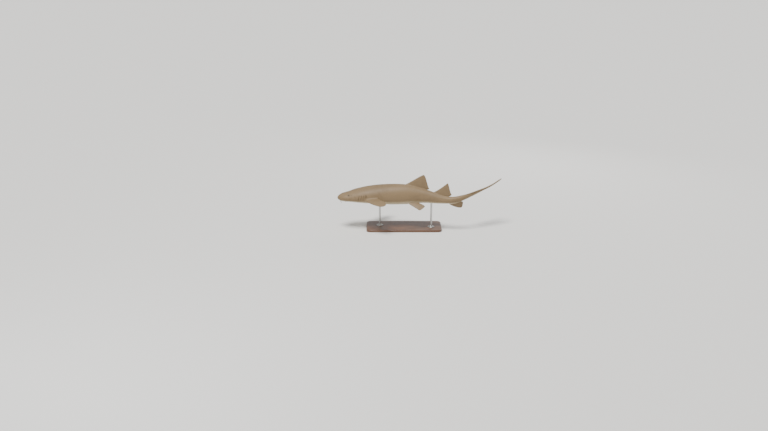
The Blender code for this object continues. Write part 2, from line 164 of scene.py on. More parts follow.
# ---- the bent body
@dataclass
class Spine:
    """The swimming pose: heading, climb and roll along the body."""

    length: float = 2.30
    axis_height: float = 0.452
    origin_station: float = 0.385
    samples: int = 600
    search_rounds: int = 10
    pose: tuple[Row, ...] = (
        (0.00, 2.0, -1.0, 0.0),
        (0.20, 0.0, 0.0, 0.0),
        (0.40, -5.0, -0.5, 0.0),
        (0.54, -15.0, -7.0, 2.0),
        (0.64, -11.0, 0.0, 5.0),
        (0.72, 8.0, 18.0, 15.0),
        (0.79, 24.0, 16.0, 42.0),
        (0.86, 27.0, 13.5, 54.0),
        (0.93, 29.0, 21.0, 61.0),
        (1.00, 30.0, 28.0, 64.0),
    )

    def __post_init__(self) -> None:
        """Sum the directions along the spine into places."""
        self.stations = np.linspace(0.0, 1.0, self.samples + 1)
        heading, climb, roll = (np.radians(SmoothCurve(self.pose, k)(self.stations)) for k in (1, 2, 3))
        level = np.stack([-np.sin(heading), np.cos(heading), np.zeros_like(heading)], axis=1)
        self.ahead = np.stack([np.cos(climb) * np.cos(heading), np.cos(climb) * np.sin(heading),
                               np.sin(climb)], axis=1)
        rise = np.cross(self.ahead, level)
        self.side = level * np.cos(roll)[:, None] + rise * np.sin(roll)[:, None]
        self.up = rise * np.cos(roll)[:, None] - level * np.sin(roll)[:, None]
        steps = (self.ahead[1:] + self.ahead[:-1]) / 2 * self.length / self.samples
        self.places = np.vstack([np.zeros(3), np.cumsum(steps, axis=0)])
        self.places += np.array((0.0, 0.0, self.axis_height)) - self.at(self.places, self.origin_station)

    def at(self, table: Array, stations: Array) -> Array:
        """Rows of a table along the spine, at some stations."""
        return np.stack([np.interp(stations, self.stations, table[:, k]) for k in range(3)], axis=-1)

    def to_world(self, stations: Array, sideways: Array, heights: Array) -> Array:
        """World places of points of the straight shark.

        Args:
            stations: shares of the length from the snout.
            sideways: distances to the right, as shares of the length.
            heights: distances above the spine, as shares of the length.

        Returns:
            Places in metres, one row each.
        """
        across = (self.at(self.side, stations) * np.asarray(sideways)[..., None]
                  + self.at(self.up, stations) * np.asarray(heights)[..., None])
        return self.at(self.places, stations) + across * self.length

    def to_straight(self, points: Array) -> tuple[Array, Array, Array]:
        """Station, sideways distance and height of world points.

        Args:
            points: places in metres, one row each.

        Returns:
            Three arrays, all as shares of the length.
        """
        stations = np.interp(points[:, 0], self.places[:, 0], self.stations)
        for _ in range(self.search_rounds):
            gap = points - self.at(self.places, stations)
            ahead = self.at(self.ahead, stations)
            stations = np.clip(stations + np.sum(gap * ahead, axis=1) / self.length, 0.0, 1.0)
        gap = points - self.at(self.places, stations)
        sideways = np.sum(gap * self.at(self.side, stations), axis=1) / self.length
        heights = np.sum(gap * self.at(self.up, stations), axis=1) / self.length
        return stations, sideways, heights


@dataclass
class BodyForm:
    """Sections of the body and of the caudal fin, as shares of the length."""

    sections: tuple[Row, ...] = (
        (0.000, 0.0400, -0.0170, 0.0185, 0.0135),
        (0.040, 0.0500, -0.0155, 0.0275, 0.0180),
        (0.070, 0.0575, -0.0135, 0.0345, 0.0215),
        (0.100, 0.0635, -0.0120, 0.0445, 0.0255),
        (0.130, 0.0685, -0.0105, 0.0508, 0.0295),
        (0.180, 0.0715, -0.0085, 0.0597, 0.0355),
        (0.250, 0.0690, -0.0060, 0.0662, 0.0430),
        (0.330, 0.0630, -0.0040, 0.0684, 0.0475),
        (0.390, 0.0565, -0.0025, 0.0655, 0.0475),
        (0.440, 0.0480, -0.0010, 0.0575, 0.0435),
        (0.500, 0.0375, 0.0000, 0.0455, 0.0350),
        (0.560, 0.0290, 0.0005, 0.0350, 0.0270),
        (0.650, 0.0190, 0.0005, 0.0208, 0.0182),
        (0.714, 0.0148, 0.0005, 0.0178, 0.0168),
        (0.760, 0.0100, 0.0010, 0.0125, 0.0115),
        (0.850, 0.0062, 0.0020, 0.0075, 0.0070),
        (0.930, 0.0045, 0.0025, 0.0055, 0.0050),
        (1.000, 0.0030, 0.0030, 0.0035, 0.0035),
    )
    caudal_margins: tuple[Row, ...] = (
        (0.700, 0.0172, 0.0167),
        (0.740, 0.0175, 0.0190),
        (0.780, 0.0180, 0.0270),
        (0.830, 0.0195, 0.0395),
        (0.880, 0.0200, 0.0455),
        (0.912, 0.0200, 0.0420),
        (0.928, 0.0195, 0.0290),
        (0.942, 0.0190, 0.0365),
        (0.965, 0.0180, 0.0405),
        (1.000, 0.0160, 0.0385),
    )
    snout_plan: float = 0.050
    snout_profile: float = 0.032
    back_squareness: float = 2.1
    belly_squareness: float = 2.5
    caudal_start: float = 0.714
    caudal_tip: float = 0.020
    blade_half: float = 0.0022 / 2.30
    around: int = 160
    fine: int = 1440

    def __post_init__(self) -> None:
        """Make the curves along the body."""
        self.half_breadth, self.widest, self.back, self.belly = (
            SmoothCurve(self.sections, k) for k in (1, 2, 3, 4))
        self.upper_margin, self.lower_margin = (SmoothCurve(self.caudal_margins, k) for k in (1, 2))

    def body_ring(self, station: float) -> Array:
        """One section, as evenly spaced (sideways, height) rows from the right side upwards.

        Args:
            station: share of the length from the snout.

        Returns:
            An array with one row for each point round the section.
        """
        turn = np.linspace(0.0, 2 * math.pi, self.fine, endpoint=False)
        upper = np.sin(turn) >= 0
        power = np.where(upper, 2 / self.back_squareness, 2 / self.belly_squareness)
        plan, depth = rounding(station, self.snout_plan), rounding(station, self.snout_profile)
        reach = np.where(upper, self.back(station), self.belly(station)) * depth
        sideways = self.half_breadth(station) * plan * signed_power(np.cos(turn), power)
        heights = self.widest(station) + reach * signed_power(np.sin(turn), power)
        return self.even(sideways, heights)

    def even(self, sideways: Array, heights: Array) -> Array:
        """Space a closed outline evenly within each of its four quarters.

        Args:
            sideways: first numbers of the outline's points.
            heights: second numbers of the outline's points.

        Returns:
            The same outline with the wanted number of points.
        """
        outline = np.stack([np.append(sideways, sideways[0]), np.append(heights, heights[0])], axis=1)
        run = np.append(0.0, np.cumsum(np.linalg.norm(np.diff(outline, axis=0), axis=1)))
        quarter = self.fine // 4
        marks = [np.linspace(run[q * quarter], run[(q + 1) * quarter], self.around // 4, endpoint=False)
                 for q in range(4)]
        marks = np.concatenate(marks)
        return np.stack([np.interp(marks, run, outline[:, k]) for k in (0, 1)], axis=1)

    def caudal_ring(self, station: float) -> Array:
        """One section of the caudal fin: fleshy core with a thin blade above and below.

        Args:
            station: share of the length from the snout.

        Returns:
            An array of (sideways, height) rows.
        """
        end = rounding(1.0 - station, self.caudal_tip)
        top, bottom = self.upper_margin(station) * end, -self.lower_margin(station) * end
        turn = np.linspace(0.0, 2 * math.pi, self.around, endpoint=False)
        heights = (top + bottom) / 2 + (top - bottom) / 2 * np.sin(turn)
        widest = self.widest(station)
        reach = np.where(heights > widest, self.back(station), self.belly(station))
        core = self.half_breadth(station) * end * plate_share((heights - widest) / reach, 2)
        thin = min(self.blade_half, self.half_breadth(station)) * end * plate_share(np.sin(turn), 8)
        width = (core ** 3 + thin ** 3) ** (1 / 3)
        return np.stack([width * np.sign(np.cos(turn) + 1e-12), heights], axis=1)


# ---- mesh tools
def lofted_mesh(name: str, rings: Array, start: Optional[Array] = None,
                end: Optional[Array] = None, looped: bool = False) -> Mesh:
    """Closed mesh through rings of points.

    Args:
        name: mesh name.
        rings: places, shaped rings by points by 3.
        start: point that the first ring is drawn to, or none for a flat cap.
        end: point that the last ring is drawn to, or none for a flat cap.
        looped: whether the last ring is joined to the first, with no caps.

    Returns:
        The mesh, with its faces outwards.
    """
    count, around = rings.shape[:2]
    points = rings.reshape(-1, 3)
    near = np.arange(around)
    far = (near + 1) % around
    firsts = around * np.arange(count + looped) % len(points)
    quads = np.concatenate([np.stack([near + a, far + a, far + b, near + b], axis=1)
                            for a, b in zip(firsts, firsts[1:])])
    faces = quads.tolist()
    extra = []
    for first, tip in () if looped else ((firsts[0], start), (firsts[-1], end)):
        if tip is None:
            faces.append((near + first).tolist())
            continue
        peak = len(points) + len(extra)
        extra.append(tip)
        faces += [(first + a, first + b, peak) for a, b in zip(near.tolist(), far.tolist())]
    if extra:
        points = np.vstack([points, extra])
    mesh = bpy.data.meshes.new(name)
    mesh.from_pydata(points.tolist(), [], faces)
    face_outwards(mesh)
    return mesh


def mesh_from(work: bmesh.types.BMesh, name: str) -> Mesh:
    """A new mesh of a work mesh, which is freed.

    Args:
        work: the work mesh, which is freed.
        name: name of the new mesh.

    Returns:
        The new mesh.
    """
    mesh = bpy.data.meshes.new(name)
    work.to_mesh(mesh)
    work.free()
    return mesh


def face_outwards(mesh: Mesh, merge: float = 0.0) -> None:
    """Turn the faces outwards, after vertices within a distance are merged.

    Args:
        mesh: mesh to change.
        merge: distance within which vertices become one, or 0 for none.
    """
    work = bmesh.new()
    work.from_mesh(mesh)
    if merge > 0:
        bmesh.ops.remove_doubles(work, verts=work.verts, dist=merge)
    bmesh.ops.recalc_face_normals(work, faces=work.faces)
    work.to_mesh(mesh)
    work.free()


def shade(mesh: Mesh, sharp_from: float = CREASE) -> None:
    """Smooth shading, with edges over an angle in degrees kept sharp."""
    mesh.shade_smooth()
    mesh.set_sharp_from_angle(angle=math.radians(sharp_from))


def new_object(name: str, mesh: Mesh) -> Object:
    """An object for a mesh, linked to the scene.

    Args:
        name: its name.
        mesh: its mesh.

    Returns:
        The object.
    """
    item = bpy.data.objects.new(name, mesh)
    bpy.context.scene.collection.objects.link(item)
    return item


def on_frame(name: str, mesh: Mesh, finish: Finish, *nodes: str) -> Object:
    """A finished piece on the root body.

    Args:
        name: name of the piece.
        mesh: its mesh, in place.
        finish: its material slot; not used.
        nodes: the frame's nodes that it stands for, or none.

    Returns:
        The piece.
    """
    item = new_object(name, mesh)
    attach(item, "root")
    if nodes:
        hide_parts(*nodes)
    return item


def baked(item: Object) -> Mesh:
    """The object's mesh with its modifiers applied."""
    depsgraph = bpy.context.evaluated_depsgraph_get()
    return bpy.data.meshes.new_from_object(item.evaluated_get(depsgraph))


def points_of(mesh: Mesh) -> Array:
    """Vertex places, one row each.

    Args:
        mesh: any mesh.

    Returns:
        Places, one row each.
    """
    places = np.empty(len(mesh.vertices) * 3)
    mesh.vertices.foreach_get("co", places)
    return places.reshape(-1, 3)


def normals_of(mesh: Mesh) -> Array:
    """Vertex normals, one row each.

    Args:
        mesh: any mesh.

    Returns:
        Normals, one row each.
    """
    normals = np.empty(len(mesh.vertices) * 3, dtype=np.float32)
    mesh.vertex_normals.foreach_get("vector", normals)
    return normals.reshape(-1, 3).astype(float)


def move_points(mesh: Mesh, places: Array) -> None:
    """Put the vertices at new places."""
    mesh.vertices.foreach_set("co", places.astype(np.float32).ravel())
    mesh.update()


def edges_of(mesh: Mesh) -> Array:
    """Vertex numbers of every edge.

    Args:
        mesh: any mesh.

    Returns:
        Pairs of vertex numbers.
    """
    ends = np.empty(len(mesh.edges) * 2, dtype=np.int32)
    mesh.edges.foreach_get("vertices", ends)
    return ends.reshape(-1, 2)


def refine(mesh: Mesh, wanted: Measure, passes: int = 4) -> None:
    """Split edges until they are about as short as wanted.

    A triangle with a long edge is always cut first across its longest one, so none gets thin.

    Args:
        mesh: mesh to change, which gets triangles only.
        wanted: edge length wanted at each of some places.
        passes: most times that an edge is halved.
    """
    work = bmesh.new()
    work.from_mesh(mesh)
    bmesh.ops.triangulate(work, faces=work.faces)
    work.verts.index_update()
    places = np.array([v.co for v in work.verts], dtype=float)
    corners = np.array([[v.index for v in f.verts] for f in work.faces])
    work.free()
    for _ in range(passes):
        sides = np.sort(np.stack([corners, np.roll(corners, -1, axis=1)], axis=-1), axis=-1)
        edges, which = np.unique(sides.reshape(-1, 2), axis=0, return_inverse=True)
        which = which.reshape(-1, 3)
        ends = places[edges]
        lengths = np.linalg.norm(ends[:, 0] - ends[:, 1], axis=1)
        cut = lengths > TOO_LONG * wanted(ends.mean(axis=1))
        longest = np.argmax(lengths[which], axis=1)
        first = which[np.arange(len(which)), longest]
        while not cut[first[cut[which].any(axis=1)]].all():
            cut[first[cut[which].any(axis=1)]] = True
        if not cut.any():
            break
        number = np.full(len(edges), -1)
        number[cut] = len(places) + np.arange(cut.sum())
        places = np.vstack([places, ends[cut].mean(axis=1)])
        turn = (longest[:, None] + np.arange(3)) % 3
        (a, b, c), (ab, bc, ca) = (np.take_along_axis(table, turn, axis=1).T for table in
                                   (corners, number[which]))
        pieces = ((ab < 0, (a, b, c)), ((ab >= 0) & (ca < 0), (a, ab, c)), (ca >= 0, (a, ab, ca)),
                  (ca >= 0, (ab, c, ca)), ((ab >= 0) & (bc < 0), (ab, b, c)), (bc >= 0, (ab, b, bc)),
                  (bc >= 0, (ab, bc, c)))
        corners = np.vstack([np.stack([v[chosen] for v in face], axis=1) for chosen, face in pieces])
    mesh.clear_geometry()
    mesh.from_pydata(places.tolist(), [], corners.tolist())
    mesh.update()


def relax(mesh: Mesh, weights: Array, rounds: int) -> None:
    """Smooth the mesh where the weights are over 0.

    Args:
        mesh: mesh to change.
        weights: how far each vertex moves to the middle of its neighbours.
        rounds: number of times.
    """
    ends = edges_of(mesh)
    places = points_of(mesh)
    count = len(places)
    degree = np.bincount(ends.ravel(), minlength=count).astype(float)[:, None]
    for _ in range(rounds):
        total = np.stack([np.bincount(ends[:, 0], places[ends[:, 1], k], count)
                          + np.bincount(ends[:, 1], places[ends[:, 0], k], count) for k in range(3)], axis=1)
        places += weights[:, None] * (total / degree - places)
    move_points(mesh, places)


def distance_from(targets: Array) -> Measure:
    """A function that gives the distance of points from the nearest of some targets.

    Args:
        targets: places, one row each.

    Returns:
        The function.
    """
    tree = KDTree(len(targets))
    for i, target in enumerate(targets):
        tree.insert(target, i)
    tree.balance()
    return lambda points: np.array([tree.find(p)[2] for p in points])


def save_attribute(mesh: Mesh, name: str, values: Array) -> None:
    """Store one number for each vertex."""
    attribute = mesh.attributes.new(name, "FLOAT", "POINT")
    attribute.data.foreach_set("value", values.astype(np.float32))


# ---- fins and feelers
def pulled(start: Array, start_pull: Array, end: Array, end_pull: Array, t: float) -> Array:
    """Point of a curve between two points with a given pull at each."""
    start, start_pull, end, end_pull = (np.array(v) for v in (start, start_pull, end, end_pull))
    return ((1 + 2 * t) * (1 - t) ** 2 * start + t * (1 - t) ** 2 * start_pull
            + t * t * (3 - 2 * t) * end + t * t * (t - 1) * end_pull)


@dataclass
class Fin:
    """One fin: margin points (station, distance out) with the pull of the margin there."""

    name: str
    root: Pair
    lean: float
    front: Pair
    front_pull: Pair
    apex: Pair
    apex_pull: Pair
    rear_tip: Pair
    rear_tip_pull: Pair
    rear: Pair
    rear_pull: Pair
    half_thickness: float
    root_depth: float
    sag: float = 0.0
    pitch: float = 0.0
    paired: bool = False
    rear_tip_share: float = 0.28
    edge_half: float = 0.0011 / 2.30
    taper: float = 0.8
    fullness: float = 2.6
    rings: int = 38
    side_points: int = 20

    def trailing_point(self, t: float) -> Array:
        """Point of the rear outline, from the rear of the base round the rear tip to the apex.

        Args:
            t: 0 at the rear of the base, 1 at the apex.

        Returns:
            Station and distance out.
        """
        share = self.rear_tip_share
        if t < share:
            return pulled(self.rear, self.rear_pull, self.rear_tip, self.rear_tip_pull, t / share)
        back = -np.array(self.apex_pull)
        return pulled(self.rear_tip, self.rear_tip_pull, self.apex, back, (t - share) / (1 - share))

    def world(self, spine: Spine, side: int, station: Array, out: Array, proud: Array) -> Array:
        """World places of points of the fin.

        Args:
            spine: the pose of the body.
            side: -1 for the left fin of a pair, or 1.
            station: places along the body.
            out: distances from the root line.
            proud: heights over the fin's middle surface.

        Returns:
            Places in metres.
        """
        lean = math.radians(self.lean)
        reach = np.maximum(out, 0.0) / self.apex[1]
        sideways = self.root[0] + out * math.cos(lean) - proud * math.sin(lean)
        height = self.root[1] + out * math.sin(lean) + proud * math.cos(lean) - self.sag * reach ** 2
        height = height + (station - self.front[0]) * math.tan(math.radians(self.pitch))
        return spine.to_world(station, side * sideways, height)

    def ring(self, spine: Spine, side: int, t: float, sink: float = 0.0) -> Array:
        """One section of the fin, from the leading to the trailing margin and back.

        Args:
            spine: pose of the body.
            side: -1 for left, 1 for right.
            t: 0 at the root, 1 at the apex.
            sink: how far the section is moved inwards.

        Returns:
            Places in metres, one row each.
        """
        lead = pulled(self.front, self.front_pull, self.apex, self.apex_pull, t)
        trail = self.trailing_point(t)
        angle = math.pi * np.arange(2 * self.side_points) / self.side_points
        share = (1 - np.cos(angle)) / 2
        along = lead[0] + (trail[0] - lead[0]) * share
        out = lead[1] + (trail[1] - lead[1]) * share
        foil = self.fullness * np.sqrt(share) * (1 - share)
        thickness = self.half_thickness * (1 - t) ** self.taper * foil
        thickness = thickness + self.edge_half * plate_share(np.cos(angle), 8)
        proud = np.where(np.sin(angle) > -1e-9, thickness, -thickness)
        return self.world(spine, side, along, out - sink, proud)

    def build(self, spine: Spine, side: int) -> Mesh:
        """Closed mesh of the fin, with its root inside the body.

        Args:
            spine: pose of the body.
            side: -1 for left, 1 for right.

        Returns:
            The mesh.
        """
        rings = [self.ring(spine, side, 0.0, self.root_depth)]
        rings += [self.ring(spine, side, math.sin(math.pi / 2 * i / self.rings)) for i in range(self.rings)]
        apex = self.world(spine, side, np.array(self.apex[0]), np.array(self.apex[1]), np.array(0.0))
        return lofted_mesh(self.name, np.array(rings), end=apex)


FINS = (
    Fin("first_dorsal", root=(0.0, 0.0), lean=90.0, front=(0.387, 0.064), front_pull=(0.091, 0.018),
        apex=(0.4865, 0.1285), apex_pull=(0.032, 0.006), rear_tip=(0.5235, 0.056),
        rear_tip_pull=(-0.026, 0.014), rear=(0.500, 0.040), rear_pull=(0.034, 0.004),
        half_thickness=0.0062, root_depth=0.022),
    Fin("second_dorsal", root=(0.0, 0.0), lean=90.0, front=(0.546, 0.036), front_pull=(0.059, 0.014),
        apex=(0.6378, 0.103), apex_pull=(0.028, 0.004), rear_tip=(0.6635, 0.038),
        rear_tip_pull=(-0.020, 0.011), rear=(0.641, 0.021), rear_pull=(0.030, 0.005),
        half_thickness=0.0048, root_depth=0.014),
    Fin("anal", root=(0.0, 0.0), lean=-90.0, front=(0.640, 0.0185), front_pull=(0.034, 0.012),
        apex=(0.706, 0.058), apex_pull=(0.028, -0.003), rear_tip=(0.723, 0.0265),
        rear_tip_pull=(0.003, 0.010), rear=(0.700, 0.0150), rear_pull=(0.024, 0.004),
        half_thickness=0.0036, root_depth=0.010),
    Fin("pectoral", root=(0.060, -0.0143), lean=-9.7, front=(0.1594, 0.004), front_pull=(0.029, 0.095),
        apex=(0.270, 0.117), apex_pull=(0.105, -0.020), rear_tip=(0.257, 0.046),
        rear_tip_pull=(0.042, 0.030), rear=(0.2254, 0.004), rear_pull=(0.045, 0.000),
        half_thickness=0.0066, root_depth=0.030, sag=0.005, pitch=10.2, paired=True),
    Fin("pelvic", root=(0.033, -0.0320), lean=-30.0, front=(0.409, 0.004), front_pull=(0.016, 0.052),
        apex=(0.4915, 0.050), apex_pull=(0.036, 0.012), rear_tip=(0.522, 0.017),
        rear_tip_pull=(0.002, 0.020), rear=(0.478, 0.000), rear_pull=(0.046, 0.006),
        half_thickness=0.0040, root_depth=0.020, sag=0.003, paired=True),
)


@dataclass
class Barbel:
    """The short fleshy feeler at the front of each nostril."""

    station: float = 0.019
    sideways: float = 0.0140
    length: float = 0.048
    radii: tuple[float, ...] = (0.0042, 0.0036, 0.0030, 0.0022, 0.0013)
    sweep: float = 40.0
    splay: float = 0.18
    inside: float = 0.010
    steps: int = 26
    around: int = 20
    tip_share: float = 0.62
    tip_lengths: Pair = (0.0002, 0.0006)

    def root(self, spine: Spine, form: BodyForm, side: int) -> Array:
        """World place where the feeler leaves the snout."""
        belly = form.belly(self.station) * rounding(self.station, form.snout_profile)
        return spine.to_world(self.station, side * self.sideways, form.widest(self.station) - belly)

    def build(self, spine: Spine, form: BodyForm, side: int) -> Mesh:
        """Closed mesh of one feeler, its root inside the snout.

        Args:
            spine: pose of the body.
            form: sections of the body.
            side: -1 for left, 1 for right.

        Returns:
            The mesh.
        """
        place = self.root(spine, form, side) + (0.0, 0.0, self.inside)
        marks = np.linspace(0.0, 1.0, len(self.radii))
        turns = 2 * math.pi * np.arange(self.around) / self.around
        rings = []
        for i in range(self.steps + 1):
            share = i / self.steps
            sweep = math.radians(self.sweep) * share
            along = np.array((math.sin(sweep), side * self.splay, -math.cos(sweep)))
            along /= np.linalg.norm(along)
            across = np.cross(along, (0.0, 1.0, 0.0))
            across /= np.linalg.norm(across)
            beside = np.cross(along, across)
            radius = np.interp(share, marks, self.radii)
            rings.append(place + radius * (np.outer(np.cos(turns), across) + np.outer(np.sin(turns), beside)))
            place = place + along * self.length / self.steps
        rings = np.array(rings)
        end = place + along * self.tip_lengths[0]
        tip_ring = end + (rings[-1] - rings[-1].mean(axis=0)) * self.tip_share
        return lofted_mesh("barbel", np.concatenate([rings, tip_ring[None]]),
                           end=end + along * self.tip_lengths[1])


# ---- relief of the skin
@dataclass
class SkinPoints:
    """The skin's vertices seen on the straight body, in millimetres."""

    world: Array
    x: Array
    y: Array
    z: Array
    side_normal: Array
    up_normal: Array
    outside: Array
    body_edge: Pair = (0.01, 0.06)
    under_edge: Pair = (0.1, 0.5)

    @property
    def body(self) -> Array:
        """How much each vertex is body and not fin."""
        return 1 - smooth_step(*self.body_edge, self.outside)

    @property
    def under(self) -> Array:
        """How much each vertex is underside of the body."""
        return self.body * smooth_step(*self.under_edge, -self.up_normal)


@dataclass(frozen=True)
class Swell:
    """A soft ridge at a distance from a line or point, or a groove if its height is under 0."""

    place: float
    height: float
    width: float


def profile(away: Array, *swells: Swell) -> Array:
    """Heights of some swells together, at distances from their line."""
    return sum(swell.height * bump(away - swell.place, swell.width) for swell in swells)


def path_distance(first: Array, second: Array, path: Sequence[Pair]) -> Array:
    """Distance of points from a path of straight lines, all in one plane.

    Args:
        first: first numbers of the points.
        second: second numbers of the points.
        path: corners of the path.

    Returns:
        One distance for each point.
    """
    best = np.full(len(first), np.inf)
    for (ax, ay), (bx, by) in zip(path, path[1:]):
        dx, dy = bx - ax, by - ay
        t = np.clip(((first - ax) * dx + (second - ay) * dy) / (dx * dx + dy * dy), 0.0, 1.0)
        best = np.minimum(best, np.hypot(first - ax - t * dx, second - ay - t * dy))
    return best


@dataclass
class GillSlit:
    """One gill slit on both sides: place and heights in millimetres."""

    place: float
    low: float
    high: float
    flap: float = 22.0
    lean: float = 0.16
    bow: float = 3.0
    flap_lift: float = 2.8
    hollow: Swell = Swell(6.0, -1.3, 6.0)
    cut: Swell = Swell(1.0, -5.5, 1.6)
    shadow: Swell = Swell(0.8, 0.70, 1.5)
    flank: Pair = (0.35, 0.7)
    slit_fade: Pair = (0.78, 1.02)
    flap_fade: Pair = (0.30, 1.20)
    flap_edge: Pair = (-2.5, 1.0)

    def distance(self, skin: SkinPoints) -> tuple[Array, Array, Array]:
        """Distance behind the slit, and masks of the slit and of its flap that fade at the ends.

        Args:
            skin: the skin's vertices.

        Returns:
            Millimetres behind the slit, and the two masks.
        """
        middle, half = (self.low + self.high) / 2, (self.high - self.low) / 2
        rise = (skin.z - middle) / half
        line = self.place + self.lean * (skin.z - middle) - self.bow * (1 - np.clip(rise, -1.5, 1.5) ** 2)
        flank = smooth_step(*self.flank, np.abs(skin.side_normal))
        slit = flank * (1 - smooth_step(*self.slit_fade, np.abs(rise)))
        return skin.x - line, slit, flank * (1 - smooth_step(*self.flap_fade, np.abs(rise)))

    def relief(self, skin: SkinPoints) -> Arrays:
        """Height and darkness of the slit and of the flap in front of it.

        Args:
            skin: the skin's vertices.

        Returns:
            Height in millimetres, and darkness.
        """
        behind, slit, flap = self.distance(skin)
        edge = smooth_step(-self.flap, self.flap_edge[0], behind)
        edge = edge * (1 - smooth_step(*self.flap_edge, behind))
        height = flap * (self.flap_lift * edge + profile(behind, self.hollow))
        height = height + slit * profile(behind, self.cut)
        return skin.body * height, skin.body * slit * profile(behind, self.shadow)


@dataclass
class Fold:
    """A crease along a path of (back, sideways) places on both halves of the underside.

    The ridges beside it are given as shares of the crease's width and depth.
    """

    path: tuple[Pair, ...]
    depth: float
    width: float
    # Strength of the painted shade along the crease.
    crease_shade: float
    ridge: Swell = Swell(2.6, 0.18, 1.7)

    def relief(self, skin: SkinPoints) -> Arrays:
        """Height of the crease and of the low ridges beside it, and painted shade along the crease.

        Args:
            skin: the skin's vertices.

        Returns:
            Height in millimetres, and darkness.
        """
        away = path_distance(skin.x, np.abs(skin.y), self.path)
        share = self.ridge
        ridge = Swell(share.place * self.width, share.height * self.depth, share.width * self.width)
        height = profile(away, ridge, Swell(0.0, -self.depth, self.width))
        return skin.under * height, skin.under * self.crease_shade * bump(away, self.width)


@dataclass
class HeadRelief:
    """Mouth, nostrils, gill slits and soft folds of the skin, in millimetres."""

    mouth_front: float = 92.0
    mouth_sweep: float = 20.0
    mouth_half: float = 66.0
    upper_lip: Swell = Swell(-7.0, 3.4, 5.0)
    lower_lip: Swell = Swell(8.5, 6.6, 6.5)
    chin_groove: Swell = Swell(24.0, -1.6, 7.0)
    mouth_slit: Swell = Swell(0.0, -9.0, 2.2)
    mouth_shadow: Swell = Swell(0.0, 0.9, 2.4)
    chin_shadow: Swell = Swell(22.0, 0.16, 5.0)
    nostril: Pair = (43.0, 42.0)
    nostril_rim: Swell = Swell(10.0, 2.0, 4.0)
    nostril_pit: Swell = Swell(0.0, -7.5, 4.6)
    nostril_shadow: Swell = Swell(0.0, 0.9, 4.4)
    nostril_flap: float = 2.4
    chin: Swell = Swell(0.0, 5.0, 32.0)
    throat: Swell = Swell(226.0, -1.2, 5.0)
    unevenness: float = 0.45
    wave_lengths: Row = (61.0, 97.0, 23.0, 41.0)
    waves_from: Pair = (30.0, 120.0)
    mouth_power: float = 2.3
    mouth_fade: Pair = (0.86, 1.06)
    mouth_below: Pair = (0.2, 0.6)
    flap_inner: Pair = (15.0, 23.0)
    flap_outer: Pair = (34.0, 43.0)
    flap_front: Pair = (44.0, 58.0)
    flap_rear: Pair = (3.0, 8.0)
    nostril_narrowing: float = 1.25
    nostril_edge: float = 5.0
    chin_place: float = 140.0
    chin_breadth: float = 0.60
    throat_bow: float = 0.0016
    detail_below: float = -0.2
    detail_outside: float = 0.03
    folds: tuple[Fold, ...] = (
        Fold(((46.0, 41.0), (60.0, 42.0), (75.0, 43.5), (93.0, 46.0)), 4.2, 2.8, 0.50),
        Fold(((108.0, 62.5), (113.0, 63.5), (119.0, 62.0), (127.0, 56.5), (136.0, 46.0)), 3.6, 3.2, 0.35),
    )
    gills: tuple[GillSlit, ...] = (
        GillSlit(288.0, -40.0, 27.0),
        GillSlit(319.0, -38.0, 31.0),
        GillSlit(348.0, -28.0, 34.0),
        GillSlit(375.0, -6.0, 37.0),
        GillSlit(390.0, -1.0, 34.0, flap=12.0),
    )

    def mouth_line(self, skin: SkinPoints) -> Arrays:
        """Distance behind the mouth's slit, and a mask that fades at its corners.

        Args:
            skin: the skin's vertices.

        Returns:
            Millimetres behind the slit, and the mask.
        """
        share = np.clip(np.abs(skin.y) / self.mouth_half, 0.0, 1.6)
        power = self.mouth_power
        slope = self.mouth_sweep * power / self.mouth_half * share ** (power - 1)
        gap = (skin.x - self.mouth_front - self.mouth_sweep * share ** power) / np.sqrt(1 + slope ** 2)
        ends = 1 - smooth_step(*self.mouth_fade, share)
        return gap, ends * smooth_step(*self.mouth_below, -skin.up_normal)

    def detail_distance(self, skin: SkinPoints) -> Array:
        """Distance from the nearest slit or crease, in millimetres, for the mesh to be fine there.

        Args:
            skin: the skin's vertices.

        Returns:
            One distance for each vertex.
        """
        gap, ends = self.mouth_line(skin)
        best = np.where(ends > 0, np.abs(gap), FAR)
        across = np.abs(skin.y)
        pit = np.hypot(skin.x - self.nostril[0], across - self.nostril[1])
        pit_edge = np.abs(pit - self.nostril_edge)
        for away in [*(path_distance(skin.x, across, fold.path) for fold in self.folds), pit_edge]:
            best = np.where(skin.up_normal < self.detail_below, np.minimum(best, away), best)
        for slit in self.gills:
            behind, mask, _ = slit.distance(skin)
            there = (mask > 0) & (skin.outside < self.detail_outside)
            best = np.where(there, np.minimum(best, np.abs(behind)), best)
        return best

    def mouth(self, skin: SkinPoints) -> Arrays:
        """Height and darkness of the lips, the slit and the nostrils' flaps over it.

        Args:
            skin: the skin's vertices.

        Returns:
            Height in millimetres, and darkness.
        """
        gap, ends = self.mouth_line(skin)
        across = np.abs(skin.y)
        lips = profile(gap, self.upper_lip, self.lower_lip, self.chin_groove, self.mouth_slit)
        flap = smooth_step(*self.flap_inner, across) * (1 - smooth_step(*self.flap_outer, across))
        flap = flap * smooth_step(*self.flap_front, skin.x) * smooth_step(*self.flap_rear, -gap)
        dark = np.maximum(profile(gap, self.mouth_shadow), profile(gap, self.chin_shadow))
        height = skin.body * ends * lips + skin.under * self.nostril_flap * flap
        return height, skin.body * ends * dark

    def nostrils(self, skin: SkinPoints) -> Arrays:
        """Height and darkness of the two nostrils.

        Args:
            skin: the skin's vertices.

        Returns:
            Height in millimetres, and darkness.
        """
        along = (skin.x - self.nostril[0]) * self.nostril_narrowing
        pit = np.hypot(along, np.abs(skin.y) - self.nostril[1])
        return (skin.under * profile(pit, self.nostril_rim, self.nostril_pit),
                skin.under * profile(pit, self.nostril_shadow))

